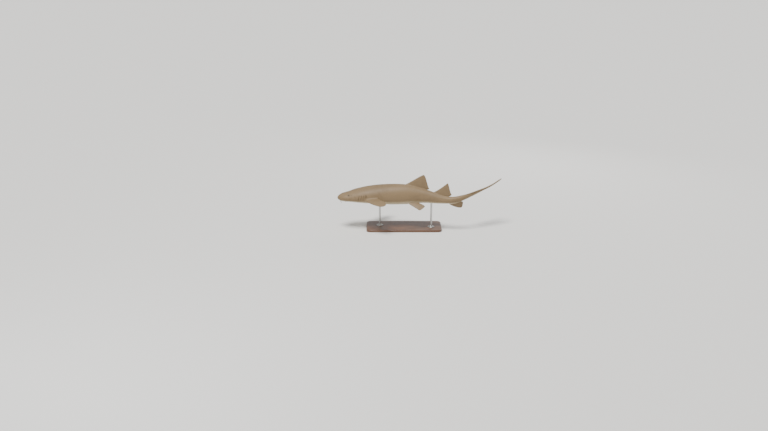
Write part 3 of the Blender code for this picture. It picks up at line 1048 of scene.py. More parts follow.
    def soft_forms(self, skin: SkinPoints) -> Array:
        """Height of the chin, the throat's crease and the slight unevenness of the skin.

        Args:
            skin: the skin's vertices.

        Returns:
            Millimetres along the normal.
        """
        chin = profile(np.hypot(skin.x - self.chin_place, skin.y * self.chin_breadth), self.chin)
        throat = profile(skin.x - self.throat_bow * skin.y ** 2, self.throat)
        around = np.arctan2(skin.z, skin.y)
        first, second, third, fourth = (skin.x / length for length in self.wave_lengths)
        waves = (np.sin(first + 2.1 * np.sin(around * 2)) * np.sin(around * 3 + second)
                 + 0.6 * np.sin(third + around * 4) * np.sin(fourth - around * 3))
        uneven = skin.body * self.unevenness * waves * smooth_step(*self.waves_from, skin.x)
        return skin.under * (chin + throat) + uneven

    def apply(self, skin: SkinPoints) -> Arrays:
        """Height and darkness of the relief.

        Args:
            skin: the skin's vertices.

        Returns:
            Distance along the normal in millimetres, and the painted shade of each vertex in a slit, pit or
            crease.
        """
        details = [self.mouth(skin), self.nostrils(skin)]
        details += [part.relief(skin) for part in (*self.folds, *self.gills)]
        height = sum(detail[0] for detail in details) + self.soft_forms(skin)
        return height, np.maximum.reduce([detail[1] for detail in details])


@dataclass
class EyeLids:
    """Opening of the lids round each eye, in millimetres from the eye's axis."""

    half_length: float = 10.6
    half_height: float = 6.7
    rim: float = 2.7
    corner_rim: float = 0.9
    sunk: float = 4.0
    reach: float = 60.0
    gaze_up: float = 44.0
    tilt: float = 8.0
    crease: Swell = Swell(8.6, -1.1, 2.0)
    crease_shadow: Swell = Swell(8.6, 0.35, 1.8)
    rim_rise: Pair = (0.84, 1.02)
    rim_fall: Pair = (1.0, 4.6)
    sunk_edge: Pair = (0.80, 0.95)
    # Painted shadow on the skin inside the lids' opening, round the eyeball.
    dark: float = 0.9
    opening_shadow_edge: Pair = (0.86, 1.04)
    crease_fade: Pair = (-9.0, 3.0)
    brow: Swell = Swell(0.0, 2.0, 8.0)
    brow_place: Pair = (-2.0, 17.0)
    brow_stretch: float = 2.2
    cheek: Swell = Swell(0.0, -1.3, 9.0)
    cheek_place: Pair = (-2.0, -19.0)
    cheek_stretch: float = 1.8

    def axes(self, spine: Spine, centre: Array, side: int) -> tuple[Array, Array, Array]:
        """Directions out of the eye, backwards along the opening, and up across it.

        Args:
            spine: pose of the body.
            centre: place of the middle of the eye.
            side: -1 for left, 1 for right.

        Returns:
            The three directions.
        """
        station = spine.to_straight(centre[None])[0]
        sideways, up = spine.at(spine.side, station)[0], spine.at(spine.up, station)[0]
        gaze, tilt = math.radians(self.gaze_up), math.radians(self.tilt)
        out = side * sideways * math.cos(gaze) + up * math.sin(gaze)
        back = spine.at(spine.ahead, station)[0]
        across = np.cross(back, out) * (1 if side > 0 else -1)
        across = across if across[2] > 0 else -across
        back, across = (back * math.cos(tilt) + across * math.sin(tilt),
                        across * math.cos(tilt) - back * math.sin(tilt))
        return out, back, across

    def apply(self, spine: Spine, skin: SkinPoints, centre: Array, side: int) -> Arrays:
        """Height of the lids of one eye, and painted shadow in their opening and crease.

        Args:
            spine: pose of the body.
            skin: the skin's vertices.
            centre: place of the middle of the eye.
            side: -1 for left, 1 for right.

        Returns:
            Height in millimetres, and darkness.
        """
        out, back, across = self.axes(spine, centre, side)
        gap = (skin.world - centre) * 1000.0
        along, rise, proud = gap @ back, gap @ across, gap @ out
        near = (proud > 0) & (np.hypot(along, rise) < self.reach)
        share = np.hypot(along / self.half_length, rise / self.half_height)
        distance = np.hypot(along, rise)
        beyond = distance - distance / np.maximum(share, 1e-6)
        tall = np.abs(rise) / np.maximum(distance, 1e-6)
        rim = self.corner_rim + (self.rim - self.corner_rim) * tall
        flat, fall = self.rim_fall
        height = rim * smooth_step(*self.rim_rise, share) * bump(np.maximum(beyond - flat, 0.0), fall)
        height = height - self.sunk * (1 - smooth_step(*self.sunk_edge, share))
        height = height + profile(beyond, self.crease) * smooth_step(*self.crease_fade, rise)
        for swell, (ahead, above), stretch in ((self.brow, self.brow_place, self.brow_stretch),
                                               (self.cheek, self.cheek_place, self.cheek_stretch)):
            height = height + profile(np.hypot((along - ahead) / stretch, rise - above), swell)
        # Painted shadow in the opening and along the crease round it.
        dark = self.dark * (1 - smooth_step(*self.opening_shadow_edge, share)) + profile(beyond, self.crease_shadow)
        return np.where(near, height, 0.0), np.where(near, np.clip(dark, 0.0, 1.0), 0.0)


@dataclass
class Spiracle:
    """The small hole behind each eye."""

    station: float = 0.0815
    angle: float = 34.0
    rim: Swell = Swell(6.2, 0.9, 2.4)
    pit: Swell = Swell(0.0, -5.0, 3.2)
    shadow: Swell = Swell(0.0, 1.0, 3.52)

    def place(self, spine: Spine, form: BodyForm, side: int) -> Array:
        """World place of the hole.

        Args:
            spine: pose of the body.
            form: sections of the body.
            side: -1 for left, 1 for right.

        Returns:
            The place in metres.
        """
        turn = math.radians(self.angle)
        power = 2 / form.back_squareness
        sideways = form.half_breadth(self.station) * math.cos(turn) ** power
        height = form.widest(self.station) + form.back(self.station) * math.sin(turn) ** power
        return spine.to_world(np.array(self.station), side * sideways, height)

    def apply(self, skin: SkinPoints, place: Array) -> Arrays:
        """Height and darkness of the hole."""
        away = np.linalg.norm(skin.world - place, axis=1) * 1000.0
        return profile(away, self.rim, self.pit), profile(away, self.shadow)


# ---- the skin
@dataclass
class SkinMarks:
    """Where the numbers that the skin's finish reads change over the animal."""

    fin_edge: Pair = (0.03, 0.30)
    fins_end: float = 0.74
    belly_edge: Pair = (0.15, 1.25)
    belly_low: float = 0.9
    belly_below: float = 0.35
    fin_below: Pair = (0.1, 0.9)
    fin_paleness: float = 0.7
    tail_fade: Pair = (0.60, 0.76)
    tail_darkness: float = 0.75
    feeler_outside: float = 0.03
    feeler_end: float = 120.0
    feeler_belly: float = 0.50
    ray_slopes: Pair = (0.8, 0.5)
    line_height: float = 0.46
    line_start: Pair = (0.172, 0.20)
    line_end: Pair = (0.90, 0.97)
    line_edge: Pair = (0.01, 0.03)
    line_spread: float = 400.0
    snout_fade: Pair = (60.0, 150.0)

    def save(self, mesh: Mesh, skin: SkinPoints, dark: Array, spine: Spine, form: BodyForm) -> None:
        """Store the numbers on the mesh.

        Args:
            mesh: the finished skin.
            skin: the skin's vertices.
            dark: painted shade of each vertex in slits, pits, creases and eye openings.
            spine: the pose of the body.
            form: the sections of the body.
        """
        size = spine.length * 1000.0
        station = skin.x / size
        rise = skin.z - form.widest(station) * size
        reach = np.where(rise >= 0, form.back(station), form.belly(station)) * size
        dark = np.clip(dark, 0.0, 1.0)
        fin = smooth_step(*self.fin_edge, skin.outside) * (station < self.fins_end)
        low = -rise / np.maximum(reach, 1.0)
        belly = smooth_step(*self.belly_edge, self.belly_low * low - self.belly_below * skin.up_normal)
        belly = belly * (1 - fin) + fin * smooth_step(*self.fin_below, -skin.up_normal) * self.fin_paleness
        belly = belly * (1 - self.tail_darkness * smooth_step(*self.tail_fade, station))
        feeler = (skin.outside > self.feeler_outside) & (skin.x < self.feeler_end)
        belly = np.where(feeler, self.feeler_belly, belly)
        up, out = self.ray_slopes
        line = (form.widest(station) + self.line_height * form.back(station)) * size
        hidden = np.maximum.reduce([1 - smooth_step(*self.line_start, station),
                                    smooth_step(*self.line_end, station),
                                    smooth_step(*self.line_edge, skin.outside) * (station < self.fins_end)])
        # The second attribute holds the painted shade of slits, pits, creases and eye openings.
        for name, values in (
                ("belly", np.clip(belly, 0.0, 1.0)),
                ("recess_shading", dark),
                ("fin", np.clip(fin, 0.0, 1.0)),
                ("ray", (skin.x - up * np.abs(skin.z) - out * np.abs(skin.y)) / 1000.0),
                ("lateral", (skin.z - line) / 1000.0 * (1 + self.line_spread * hidden)),
                ("snout", (1 - smooth_step(*self.snout_fade, skin.x)) * (1 - dark))):
            save_attribute(mesh, name, values)


@dataclass
class SharkSkin:
    """One skin over the whole animal."""

    spine: Spine
    form: BodyForm
    barbel: Barbel
    relief: HeadRelief
    lids: EyeLids
    spiracle: Spiracle
    eye_centres: dict[Side, Array]
    marks: SkinMarks = field(default_factory=SkinMarks)
    nose_rings: int = 20
    head_step: float = 0.0022
    body_step: float = 0.0043
    caudal_step: float = 0.0035
    fillet: float = 0.017
    fillet_rounds: int = 46
    barbel_fillet: float = 0.004
    barbel_near: float = 0.030
    seam_edges: Pair = (0.0011, 0.0036)
    detail_edges: tuple[Pair, ...] = ((3.8, 0.0012), (7.5, 0.0024))
    head_end: float = 0.185
    tip_start: float = 0.985
    tip_rings: int = 14
    tail_end: float = 0.9999
    tail_blend: Pair = (-0.002, 0.004)
    fillet_strength: float = 0.9
    fillet_core: float = 0.25
    seam_margin: float = 1.1
    least_share: float = 0.02
    detail_end: float = 450.0
    detail_outside: Pair = (-0.06, 0.04)
    lids_reach: float = 21.0
    hole_reach: float = 4.0
    settled: Pair = (0.004, 0.25)
    settled_within: float = 0.02
    settled_clear: float = 1.02

    REPLACED = ("head", "lower_jaw", "trunk", "tail_stock", "caudal_fin", "first_dorsal_fin",
                "second_dorsal_fin", "anal_fin", "pectoral_fin_left", "pectoral_fin_right",
                "pelvic_fin_left", "pelvic_fin_right", "nasal_barbel_left", "nasal_barbel_right")

    def body(self) -> Mesh:
        """Closed mesh of the body and the caudal fin.

        Returns:
            The mesh.
        """
        nose = self.form.snout_profile
        stations = [nose * (1 - math.cos(math.pi / 2 * i / self.nose_rings)) for i in
                    range(1, self.nose_rings + 1)]
        for end, step in ((self.head_end, self.head_step), (self.form.caudal_start, self.body_step),
                          (self.tip_start, self.caudal_step)):
            start = stations[-1]
            count = math.ceil((end - start) / step)
            stations += [start + (end - start) * (i + 1) / count for i in range(count)]
        rest = 1.0 - stations[-1]
        stations += [1.0 - rest * math.cos(math.pi / 2 * i / self.tip_rings)
                     for i in range(1, self.tip_rings)]
        stations.append(self.tail_end)
        rings = []
        before, after = (self.form.caudal_start + step for step in self.tail_blend)
        for station in stations:
            blend = smooth_step(before, after, station)
            ring = self.form.body_ring(station) if blend < 1 else None
            if blend > 0:
                tail = self.form.caudal_ring(station)
                tail = self.form.even(*self.resampled(tail).T)
                ring = tail if ring is None else ring * (1 - blend) + tail * blend
            rings.append(self.spine.to_world(np.full(len(ring), station), ring[:, 0], ring[:, 1]))
        tip = self.spine.to_world(np.array(0.0), 0.0, self.form.widest(0.0))
        end = (self.form.upper_margin(1.0) - self.form.lower_margin(1.0)) / 4
        return lofted_mesh("body", np.array(rings), tip, self.spine.to_world(np.array(1.0), 0.0, end))

    def resampled(self, ring: Array) -> Array:
        """The same outline with as many points as the even spacing works from.

        Args:
            ring: (sideways, height) rows.

        Returns:
            The new rows.
        """
        marks = np.linspace(0.0, len(ring), self.form.fine, endpoint=False)
        closed = np.vstack([ring, ring[:1]])
        return np.stack([np.interp(marks, np.arange(len(closed)), closed[:, k]) for k in (0, 1)], axis=1)

    def joined(self) -> tuple[Mesh, Array]:
        """Body, fins and feelers as one closed mesh, and the places where they meet.

        Returns:
            The mesh, and the places, one row each.
        """
        limbs = [fin.build(self.spine, side.value) for fin in FINS
                 for side in (Side if fin.paired else (Side.RIGHT,))]
        limbs += [self.barbel.build(self.spine, self.form, side.value) for side in Side]
        skin = new_object("skin", self.body())
        known = {tuple(np.round(p, 6)) for p in points_of(skin.data)}
        items = []
        for mesh in limbs:
            known |= {tuple(np.round(p, 6)) for p in points_of(mesh)}
            item = new_object(mesh.name, mesh)
            items.append(item)
            modifier = skin.modifiers.new(mesh.name, "BOOLEAN")
            modifier.operation = "UNION"
            modifier.solver = "MANIFOLD"
            modifier.object = item
        mesh = baked(skin)
        for item in [*items, skin]:
            bpy.data.objects.remove(item)
        seams = np.array([p for p in points_of(mesh) if tuple(np.round(p, 6)) not in known])
        LOG.info("joined skin: %d vertices, %d of them on seams", len(mesh.vertices), len(seams))
        return mesh, seams

    def seen(self, mesh: Mesh) -> SkinPoints:
        """The vertices of a mesh on the straight body.

        Args:
            mesh: any state of the skin.

        Returns:
            Its vertices.
        """
        places, normals = points_of(mesh), normals_of(mesh)
        station, sideways, height = self.spine.to_straight(places)
        side_normal = np.sum(normals * self.spine.at(self.spine.side, station), axis=1)
        up_normal = np.sum(normals * self.spine.at(self.spine.up, station), axis=1)
        size = self.spine.length * 1000.0
        return SkinPoints(places, station * size, sideways * size, height * size, side_normal, up_normal,
                          self.section_share(station, sideways, height) - 1.0)

    def section_share(self, station: Array, sideways: Array, height: Array) -> Array:
        """How far out in the body's section points are: 1 on its surface.

        Args:
            station: shares of the length from the snout.
            sideways: shares of the length to the right.
            height: shares of the length above the spine.

        Returns:
            One number for each point.
        """
        form = self.form
        upper = height >= form.widest(station)
        power = np.where(upper, form.back_squareness, form.belly_squareness)
        depth, plan = (np.maximum(rounding(station, length), self.least_share)
                       for length in (form.snout_profile, form.snout_plan))
        reach = np.where(upper, form.back(station), form.belly(station)) * depth
        broad = form.half_breadth(station) * plan
        total = np.abs(sideways / broad) ** power + np.abs((height - form.widest(station)) / reach) ** power
        return total ** (1 / power)

    def build(self, finish: Material) -> Object:
        """Make the skin with its relief and its attributes.

        Args:
            finish: its material.

        Returns:
            The piece.
        """
        mesh, seams = self.joined()
        seam_distance = distance_from(seams)
        root_distance = distance_from(np.array([self.barbel.root(self.spine, self.form, side.value)
                                                for side in Side]))

        def fillet_at(points: Array) -> Array:
            """Reach of the fillet of the nearest seam."""
            return np.where(root_distance(points) < self.barbel_near, self.barbel_fillet, self.fillet)

        def by_seam(points: Array) -> Array:
            """Edge length wanted near the seams."""
            reach = fillet_at(points)
            fine = np.where(reach < self.fillet, *self.seam_edges)
            return np.where(seam_distance(points) < reach * self.seam_margin, fine, ANY_LENGTH)

        refine(mesh, by_seam)
        places = points_of(mesh)
        reach = fillet_at(places)
        beyond = smooth_step(self.fillet_core * reach, reach, seam_distance(places))
        relax(mesh, self.fillet_strength * (1 - beyond), self.fillet_rounds)
        refine(mesh, self.wanted_length)
        self.settle(mesh, seam_distance)
        skin = self.seen(mesh)
        # The darkness gathered here is painted shade in slits, pits, creases, the eye openings and the
        # spiracles.
        height, dark = self.relief.apply(skin)
        for side in Side:
            hole = self.spiracle.place(self.spine, self.form, side.value)
            for up, shadow in (self.lids.apply(self.spine, skin, self.eye_centres[side], side.value),
                               self.spiracle.apply(skin, hole)):
                height, dark = height + up, np.maximum(dark, shadow)
        move_points(mesh, skin.world + normals_of(mesh) * height[:, None] * MM)
        self.marks.save(mesh, skin, dark, self.spine, self.form)
        mesh.shade_smooth()
        mesh.materials.clear()
        mesh.materials.append(finish)
        return on_frame("shark_skin", mesh, Finish.SKIN, *self.REPLACED)

    def wanted_length(self, points: Array) -> Array:
        """Edge length wanted for the relief at some places.

        Args:
            points: places in metres, one row each.

        Returns:
            Lengths in metres.
        """
        station, sideways, height = self.spine.to_straight(points)
        size = self.spine.length * 1000.0
        around = np.hypot(sideways, height) + 1e-9
        rough = SkinPoints(points, station * size, sideways * size, height * size, sideways / around,
                           (height - self.form.widest(station)) / around,
                           self.section_share(station, sideways, height) - 1.0)
        inmost, outmost = self.detail_outside
        on_body = (rough.x < self.detail_end) & (rough.outside < outmost) & (rough.outside > inmost)
        away = np.where(on_body, self.relief.detail_distance(rough), FAR)
        for side in Side:
            lids = np.linalg.norm(points - self.eye_centres[side], axis=1) * 1000.0 - self.lids_reach
            place = self.spiracle.place(self.spine, self.form, side.value)
            hole = np.linalg.norm(points - place, axis=1) * 1000.0 - self.hole_reach
            away = np.minimum(away, np.minimum(np.maximum(lids, 0.0), hole))
        (near, finest), (far, fine) = self.detail_edges
        return np.where(away < near, finest, np.where(away < far, fine, ANY_LENGTH))

    def settle(self, mesh: Mesh, seam_distance: Measure) -> None:
        """Put the plain skin of the front of the body exactly on its sections.

        Args:
            mesh: mesh to change.
            seam_distance: gives the distance of points from the nearest seam.
        """
        places = points_of(mesh)
        station, sideways, height = self.spine.to_straight(places)
        share = self.section_share(station, sideways, height)
        start, end = self.settled
        front = (station < end) & (station > start) & (np.abs(share - 1.0) < self.settled_within)
        front &= seam_distance(places) > self.fillet * self.settled_clear
        widest = self.form.widest(station)
        exact = self.spine.to_world(station, sideways / share, widest + (height - widest) / share)
        move_points(mesh, np.where(front[:, None], exact, places))


# ---- node trees
class Sheet:
    """A node tree with short ways to add and join nodes."""

    def __init__(self, tree: NodeTree) -> None:
        """Work on a tree."""
        self.tree = tree

    def node(self, kind: str, **settings: object) -> Node:
        """Add a node and set its properties.

        Args:
            kind: type of the node.
            settings: its properties.

        Returns:
            The node.
        """
        made = self.tree.nodes.new(kind)
        for key, value in settings.items():
            setattr(made, key, value)
        return made

    def feed(self, target: NodeSocket, source: object) -> None:
        """Join a socket to a source, or set it to a plain value."""
        if isinstance(source, NodeSocket):
            self.tree.links.new(source, target)
        else:
            target.default_value = source

    def fill(self, node: Node, **values: object) -> Node:
        """Fill a node's inputs by name, with _ for a space."""
        for key, value in values.items():
            self.feed(node.inputs[key.replace("_", " ")], value)
        return node

    def math(self, operation: str, first: object, second: object = 0.0,
             clamp: bool = False) -> NodeSocket:
        """A sum on numbers.

        Args:
            operation: name of the sum.
            first: socket or value.
            second: socket or value.
            clamp: whether the result is kept from 0 to 1.

        Returns:
            The result.
        """
        made = self.node("ShaderNodeMath", operation=operation, use_clamp=clamp)
        self.feed(made.inputs[0], first)
        self.feed(made.inputs[1], second)
        return made.outputs[0]

    def plus(self, first: object, second: object) -> NodeSocket:
        """One number and another."""
        return self.math("ADD", first, second)

    def minus(self, first: object, second: object) -> NodeSocket:
        """One number less another."""
        return self.math("SUBTRACT", first, second)

    def times(self, first: object, second: object) -> NodeSocket:
        """One number times another."""
        return self.math("MULTIPLY", first, second)

    def length(self, first: object, second: object) -> NodeSocket:
        """Length of the long side of a right-angled triangle."""
        return self.math("SQRT", self.plus(self.times(first, first), self.times(second, second)))

    def scaled(self, vector: object, factor: object) -> NodeSocket:
        """A vector times a vector.

        Args:
            vector: socket or value.
            factor: socket or value.

        Returns:
            The result.
        """
        made = self.node("ShaderNodeVectorMath", operation="MULTIPLY")
        self.feed(made.inputs[0], vector)
        self.feed(made.inputs[1], factor)
        return made.outputs[0]

    def joined(self, x: object, y: object) -> NodeSocket:
        """A vector of two numbers."""
        return self.fill(self.node("ShaderNodeCombineXYZ"), X=x, Y=y).outputs[0]

    def split(self, vector: object) -> NodeOutputs:
        """The three numbers of a vector."""
        return self.fill(self.node("ShaderNodeSeparateXYZ"), Vector=vector).outputs

    def mix(self, factor: object, first: object, second: object) -> NodeSocket:
        """A mix of two colours.

        Args:
            factor: socket or value.
            first: socket or value.
            second: socket or value.

        Returns:
            The result.
        """
        made = self.node("ShaderNodeMix", data_type="RGBA")
        self.feed(made.inputs[0], factor)
        self.feed(made.inputs[6], first)
        self.feed(made.inputs[7], second)
        return made.outputs[2]

    def noise(self, vector: object, scale: object, detail: float = 4.0, roughness: float = 0.55,
              distortion: float = 0.0) -> NodeSocket:
        """Soft noise from 0 to 1."""
        return self.fill(self.node("ShaderNodeTexNoise"), Vector=vector, Scale=scale, Detail=detail,
                         Roughness=roughness, Distortion=distortion).outputs["Fac"]

    def cells(self, vector: object, scale: object, feature: str = "F1") -> NodeSocket:
        """Distance from the middle of small cells."""
        made = self.node("ShaderNodeTexVoronoi", feature=feature)
        return self.fill(made, Vector=vector, Scale=scale).outputs["Distance"]

    def spread(self, value: object, low: object, high: object, new_low: object = 0.0,
               new_high: object = 1.0) -> NodeSocket:
        """A number's range eased onto a new range.

        Args:
            value: socket or value.
            low: start of its range.
            high: end of its range.
            new_low: start of the new range.
            new_high: end of the new range.

        Returns:
            The result.
        """
        made = self.node("ShaderNodeMapRange", interpolation_type="SMOOTHSTEP")
        for socket, source in zip(made.inputs, (value, low, high, new_low, new_high)):
            self.feed(socket, source)
        return made.outputs[0]

    def attribute(self, name: str) -> NodeSocket:
        """A number stored on the mesh."""
        return self.node("ShaderNodeAttribute", attribute_name=name).outputs["Fac"]

    def place(self) -> NodeSocket:
        """Object coordinates."""
        return self.node("ShaderNodeTexCoord").outputs["Object"]

    def bump(self, height: object, distance: float, strength: float = 1.0,
             normal: object = None) -> NodeSocket:
        """A normal tilted by a height.

        Args:
            height: a socket.
            distance: depth of the bumps in metres.
            strength: how strong they are, up to 1.
            normal: normal to tilt, or none for the surface's own.

        Returns:
            The normal.
        """
        made = self.fill(self.node("ShaderNodeBump"), Height=height, Distance=distance, Strength=strength)
        if normal is not None:
            self.feed(made.inputs["Normal"], normal)
        return made.outputs[0]

    def effect(self, tree: NodeTree, **values: object) -> NodeSocket:
        """The output of a node group, with its inputs filled by name."""
        return self.fill(self.node("ShaderNodeGroup", node_tree=tree), **values).outputs[0]


class EffectGroup:
    """A shader node group that puts out one number, while it is being built."""

    def __init__(self, name: str, output: str, **inputs: float) -> None:
        """Make the group's sockets.

        Args:
            name: name of the group.
            output: name of its output.
            inputs: plain value of each input after the vector.
        """
        self.tree = bpy.data.node_groups.new(name, "ShaderNodeTree")
        self.tree.interface.new_socket("Vector", in_out="INPUT", socket_type="NodeSocketVector")
        for label, value in inputs.items():
            socket = self.tree.interface.new_socket(label, in_out="INPUT", socket_type="NodeSocketFloat")
            socket.default_value = value
        self.tree.interface.new_socket(output, in_out="OUTPUT", socket_type="NodeSocketFloat")
        self.sheet = Sheet(self.tree)
        self.inputs = self.sheet.node("NodeGroupInput").outputs

    def closed(self, result: NodeSocket) -> NodeTree:
        """Put out the result."""
        self.sheet.feed(self.sheet.node("NodeGroupOutput").inputs[0], result)
        return self.tree


def mottling_group() -> NodeTree:
    """Clouded patches of three sizes, from 0 to 1.

    Returns:
        The group.
    """
    group = EffectGroup("mottling", "Mask", Scale=3.0, Contrast=1.0)
    sheet, (vector, scale, contrast) = group.sheet, group.inputs[:3]
    large = sheet.noise(vector, scale, 3.0, 0.5, 0.4)
    middle = sheet.noise(vector, sheet.times(scale, 4.3), 4.0, 0.6, 0.6)
    small = sheet.noise(vector, sheet.times(scale, 19.0), 3.0, 0.6)
    total = sheet.plus(sheet.times(large, 0.5), sheet.times(middle, 0.32))
    total = sheet.plus(total, sheet.times(small, 0.18))
    centred = sheet.times(sheet.minus(total, 0.5), contrast)
    return group.closed(sheet.math("ADD", centred, 0.5, clamp=True))


def pebbling_group() -> NodeTree:
    """Fine pebbled height of two sizes, from 0 to 1.

    Returns:
        The group.
    """
    group = EffectGroup("pebbling", "Height", Scale=500.0, Depth=1.0)
    sheet, (vector, scale, depth) = group.sheet, group.inputs[:3]
    pebbles = sheet.minus(1.0, sheet.cells(vector, scale, "SMOOTH_F1"))
    soft = sheet.noise(vector, sheet.times(scale, 0.23), 3.0, 0.6)
    total = sheet.plus(sheet.times(pebbles, 0.6), sheet.times(soft, 0.4))
    return group.closed(sheet.times(total, depth))


def dust_group() -> NodeTree:
    """Thin dust on what faces up, broken by noise, from 0 to 1.

    Returns:
        The group.
    """
    group = EffectGroup("settled dust", "Mask", Amount=0.3)
    sheet, (vector, amount) = group.sheet, group.inputs[:2]
    normal = sheet.node("ShaderNodeNewGeometry").outputs["Normal"]
    up = sheet.spread(sheet.split(normal)[2], 0.3, 1.0)
    cloud = sheet.spread(sheet.noise(vector, 7.0, 5.0, 0.65), 0.3, 0.75)
    return group.closed(sheet.math("MULTIPLY", sheet.times(up, cloud), amount, clamp=True))


@dataclass(frozen=True)
class EffectGroups:
    """The node groups that several finishes share."""

    mottling: NodeTree
    pebbling: NodeTree
    dust: NodeTree


def linear(colour: Shade) -> tuple[float, float, float, float]:
    """A display colour, as 8-bit numbers, made linear."""
    shares = [c / 255 for c in colour]
    return (*(s / 12.92 if s <= 0.04045 else ((s + 0.055) / 1.055) ** 2.4 for s in shares), 1.0)


def new_material(name: str) -> tuple[Material, Sheet, Node]:
    """A material, a sheet to work on its tree, and its main shader.

    Args:
        name: its name.

    Returns:
        The three.
    """
    made = bpy.data.materials.new(name)
    made.use_nodes = True
    return made, Sheet(made.node_tree), made.node_tree.nodes["Principled BSDF"]


# ---- finishes
@dataclass(frozen=True)
class SkinFinish:
    """Tan-brown back, paler flanks and a cream belly, under fine tooth-like scales.

    The scales of the patterns are in repeats to a metre, the bumps' depths in metres.
    """

    back: Shade = (130, 109, 80)
    flank: Shade = (153, 133, 101)
    belly: Shade = (203, 190, 163)
    dark: Shade = (88, 71, 52)
    # Painted shade for the insides of slits, pits, creases and the eye openings.
    recess_shading: Shade = (56, 42, 34)
    roughness: float = 0.54
    unevenness: float = 0.16
    specular: float = 0.34
    cloud_scale: float = 2.6
    cloud_shade: float = 0.34
    patch_scale: float = 11.0
    speckle_scale: float = 420.0
    speckle_shade: float = 0.22
    fleck_scale: float = 90.0
    fleck_shade: float = 0.07
    ray_scale: float = 210.0
    ray_shade: float = 0.07
    ray_depth: float = 0.0005
    line_width: Pair = (0.0005, 0.0024)
    line_drift: float = 0.006
    line_shade: float = 0.14
    line_depth: float = 0.0003
    scale_size: float = 640.0
    scale_depth: float = 0.00022
    fold_scale: float = 46.0
    fold_depth: float = 0.0011
    pore_scale: float = 120.0
    recess_shade: float = 0.92

    def build(self, groups: EffectGroups) -> Material:
        """Make the material.

        Args:
            groups: the shared node groups.

        Returns:
            The material.
        """
        made, sheet, shader = new_material("shark_skin")
        place = sheet.place()
        patches = sheet.effect(groups.mottling, Vector=place, Scale=self.patch_scale, Contrast=2.4)
        uneven = sheet.times(sheet.minus(patches, 0.5), self.unevenness)
        rays = sheet.times(self.rays(sheet, place), sheet.attribute("fin"))
        line = self.lateral_line(sheet, place)
        colour = self.ground(sheet, place, groups, uneven)
        # Fin rays and the lateral line are marks of the skin itself; the last mark is painted shade in slits,
        # pits and creases, together with the snout's sense pores.
        marks = ((sheet.times(rays, self.ray_shade), self.dark),
                 (sheet.times(line, self.line_shade), self.dark),
                 (self.recess_shade_and_pores(sheet, place), self.recess_shading))
        for mask, tone in marks:
            colour = sheet.mix(mask, colour, linear(tone))
        pebbles = sheet.effect(groups.pebbling, Vector=place, Scale=self.scale_size, Depth=1.0)
        normal = sheet.bump(sheet.noise(place, self.fold_scale, 4.0, 0.6, 0.5), self.fold_depth, 0.8)
        normal = sheet.bump(pebbles, self.scale_depth, 1.0, normal)
        normal = sheet.bump(sheet.minus(1.0, line), self.line_depth, 0.4, normal)
        normal = sheet.bump(rays, self.ray_depth, 0.35, normal)
        sheet.fill(shader, Base_Color=colour, Roughness=sheet.plus(uneven, self.roughness),
                   Specular_IOR_Level=self.specular, Normal=normal)
        return made

    def ground(self, sheet: Sheet, place: NodeSocket, groups: EffectGroups,
               uneven: NodeSocket) -> NodeSocket:
        """Colour from back to belly, clouded, speckled and flecked.

        Args:
            sheet: the material's tree.
            place: object coordinates.
            groups: the shared node groups.
            uneven: small shift of the blends.

        Returns:
            The colour.
        """
        belly = sheet.attribute("belly")
        shifted = sheet.plus(belly, uneven)
        colour = sheet.mix(sheet.spread(shifted, 0.0, 0.45), linear(self.back), linear(self.flank))
        colour = sheet.mix(sheet.spread(shifted, 0.12, 1.0), colour, linear(self.belly))
        clouds = sheet.effect(groups.mottling, Vector=place, Scale=self.cloud_scale, Contrast=2.2)
        cloudy = sheet.times(sheet.spread(clouds, 0.35, 0.9), self.cloud_shade)
        colour = sheet.mix(sheet.times(cloudy, sheet.minus(1.0, belly)), colour, linear(self.dark))
        speckle = sheet.noise(place, self.speckle_scale, 2.0, 0.7)
        colour = sheet.mix(sheet.spread(speckle, 0.45, 0.8, 0.0, self.speckle_shade), colour,
                           linear(self.dark))
        fleck = sheet.noise(place, self.fleck_scale, 4.0, 0.65)
        return sheet.mix(sheet.spread(fleck, 0.50, 0.8, 0.0, self.fleck_shade), colour, linear(self.belly))

    def rays(self, sheet: Sheet, place: NodeSocket) -> NodeSocket:
        """Fine streaks along the fins' stiffening fibres.

        Args:
            sheet: the material's tree.
            place: object coordinates.

        Returns:
            A mask.
        """
        along = sheet.times(sheet.attribute("ray"), self.ray_scale)
        drift = sheet.times(sheet.noise(place, 9.0, 2.0), 4.0)
        return sheet.spread(sheet.noise(sheet.joined(along, drift), 1.0, 2.0, 0.5), 0.42, 0.66)

    def lateral_line(self, sheet: Sheet, place: NodeSocket) -> NodeSocket:
        """The thin broken line of sense organs along each flank.

        Args:
            sheet: the material's tree.
            place: object coordinates.

        Returns:
            A mask.
        """
        drift = sheet.times(sheet.minus(sheet.noise(place, 5.0, 1.0), 0.5), self.line_drift)
        away = sheet.math("ABSOLUTE", sheet.plus(sheet.attribute("lateral"), drift))
        beads = sheet.spread(sheet.noise(place, 160.0, 1.0), 0.36, 0.56, 0.35, 1.0)
        return sheet.times(sheet.spread(away, *self.line_width, 1.0, 0.0), beads)

    def recess_shade_and_pores(self, sheet: Sheet, place: NodeSocket) -> NodeSocket:
        """Painted shade in slits, pits and creases, and sparse dark sense pores on the snout.

        Args:
            sheet: the material's tree.
            place: object coordinates.

        Returns:
            A mask.
        """
        dots = sheet.spread(sheet.cells(place, self.pore_scale), 0.10, 0.17, 1.0, 0.0)
        keep = sheet.spread(sheet.noise(place, 34.0, 2.0), 0.48, 0.56)
        pores = sheet.times(sheet.times(dots, keep), sheet.times(sheet.attribute("snout"), 0.6))
        # The stored mask is painted shade in slits, pits and creases; the pores are the skin's own.
        return sheet.math("MAXIMUM", sheet.times(sheet.attribute("recess_shading"), self.recess_shade), pores)


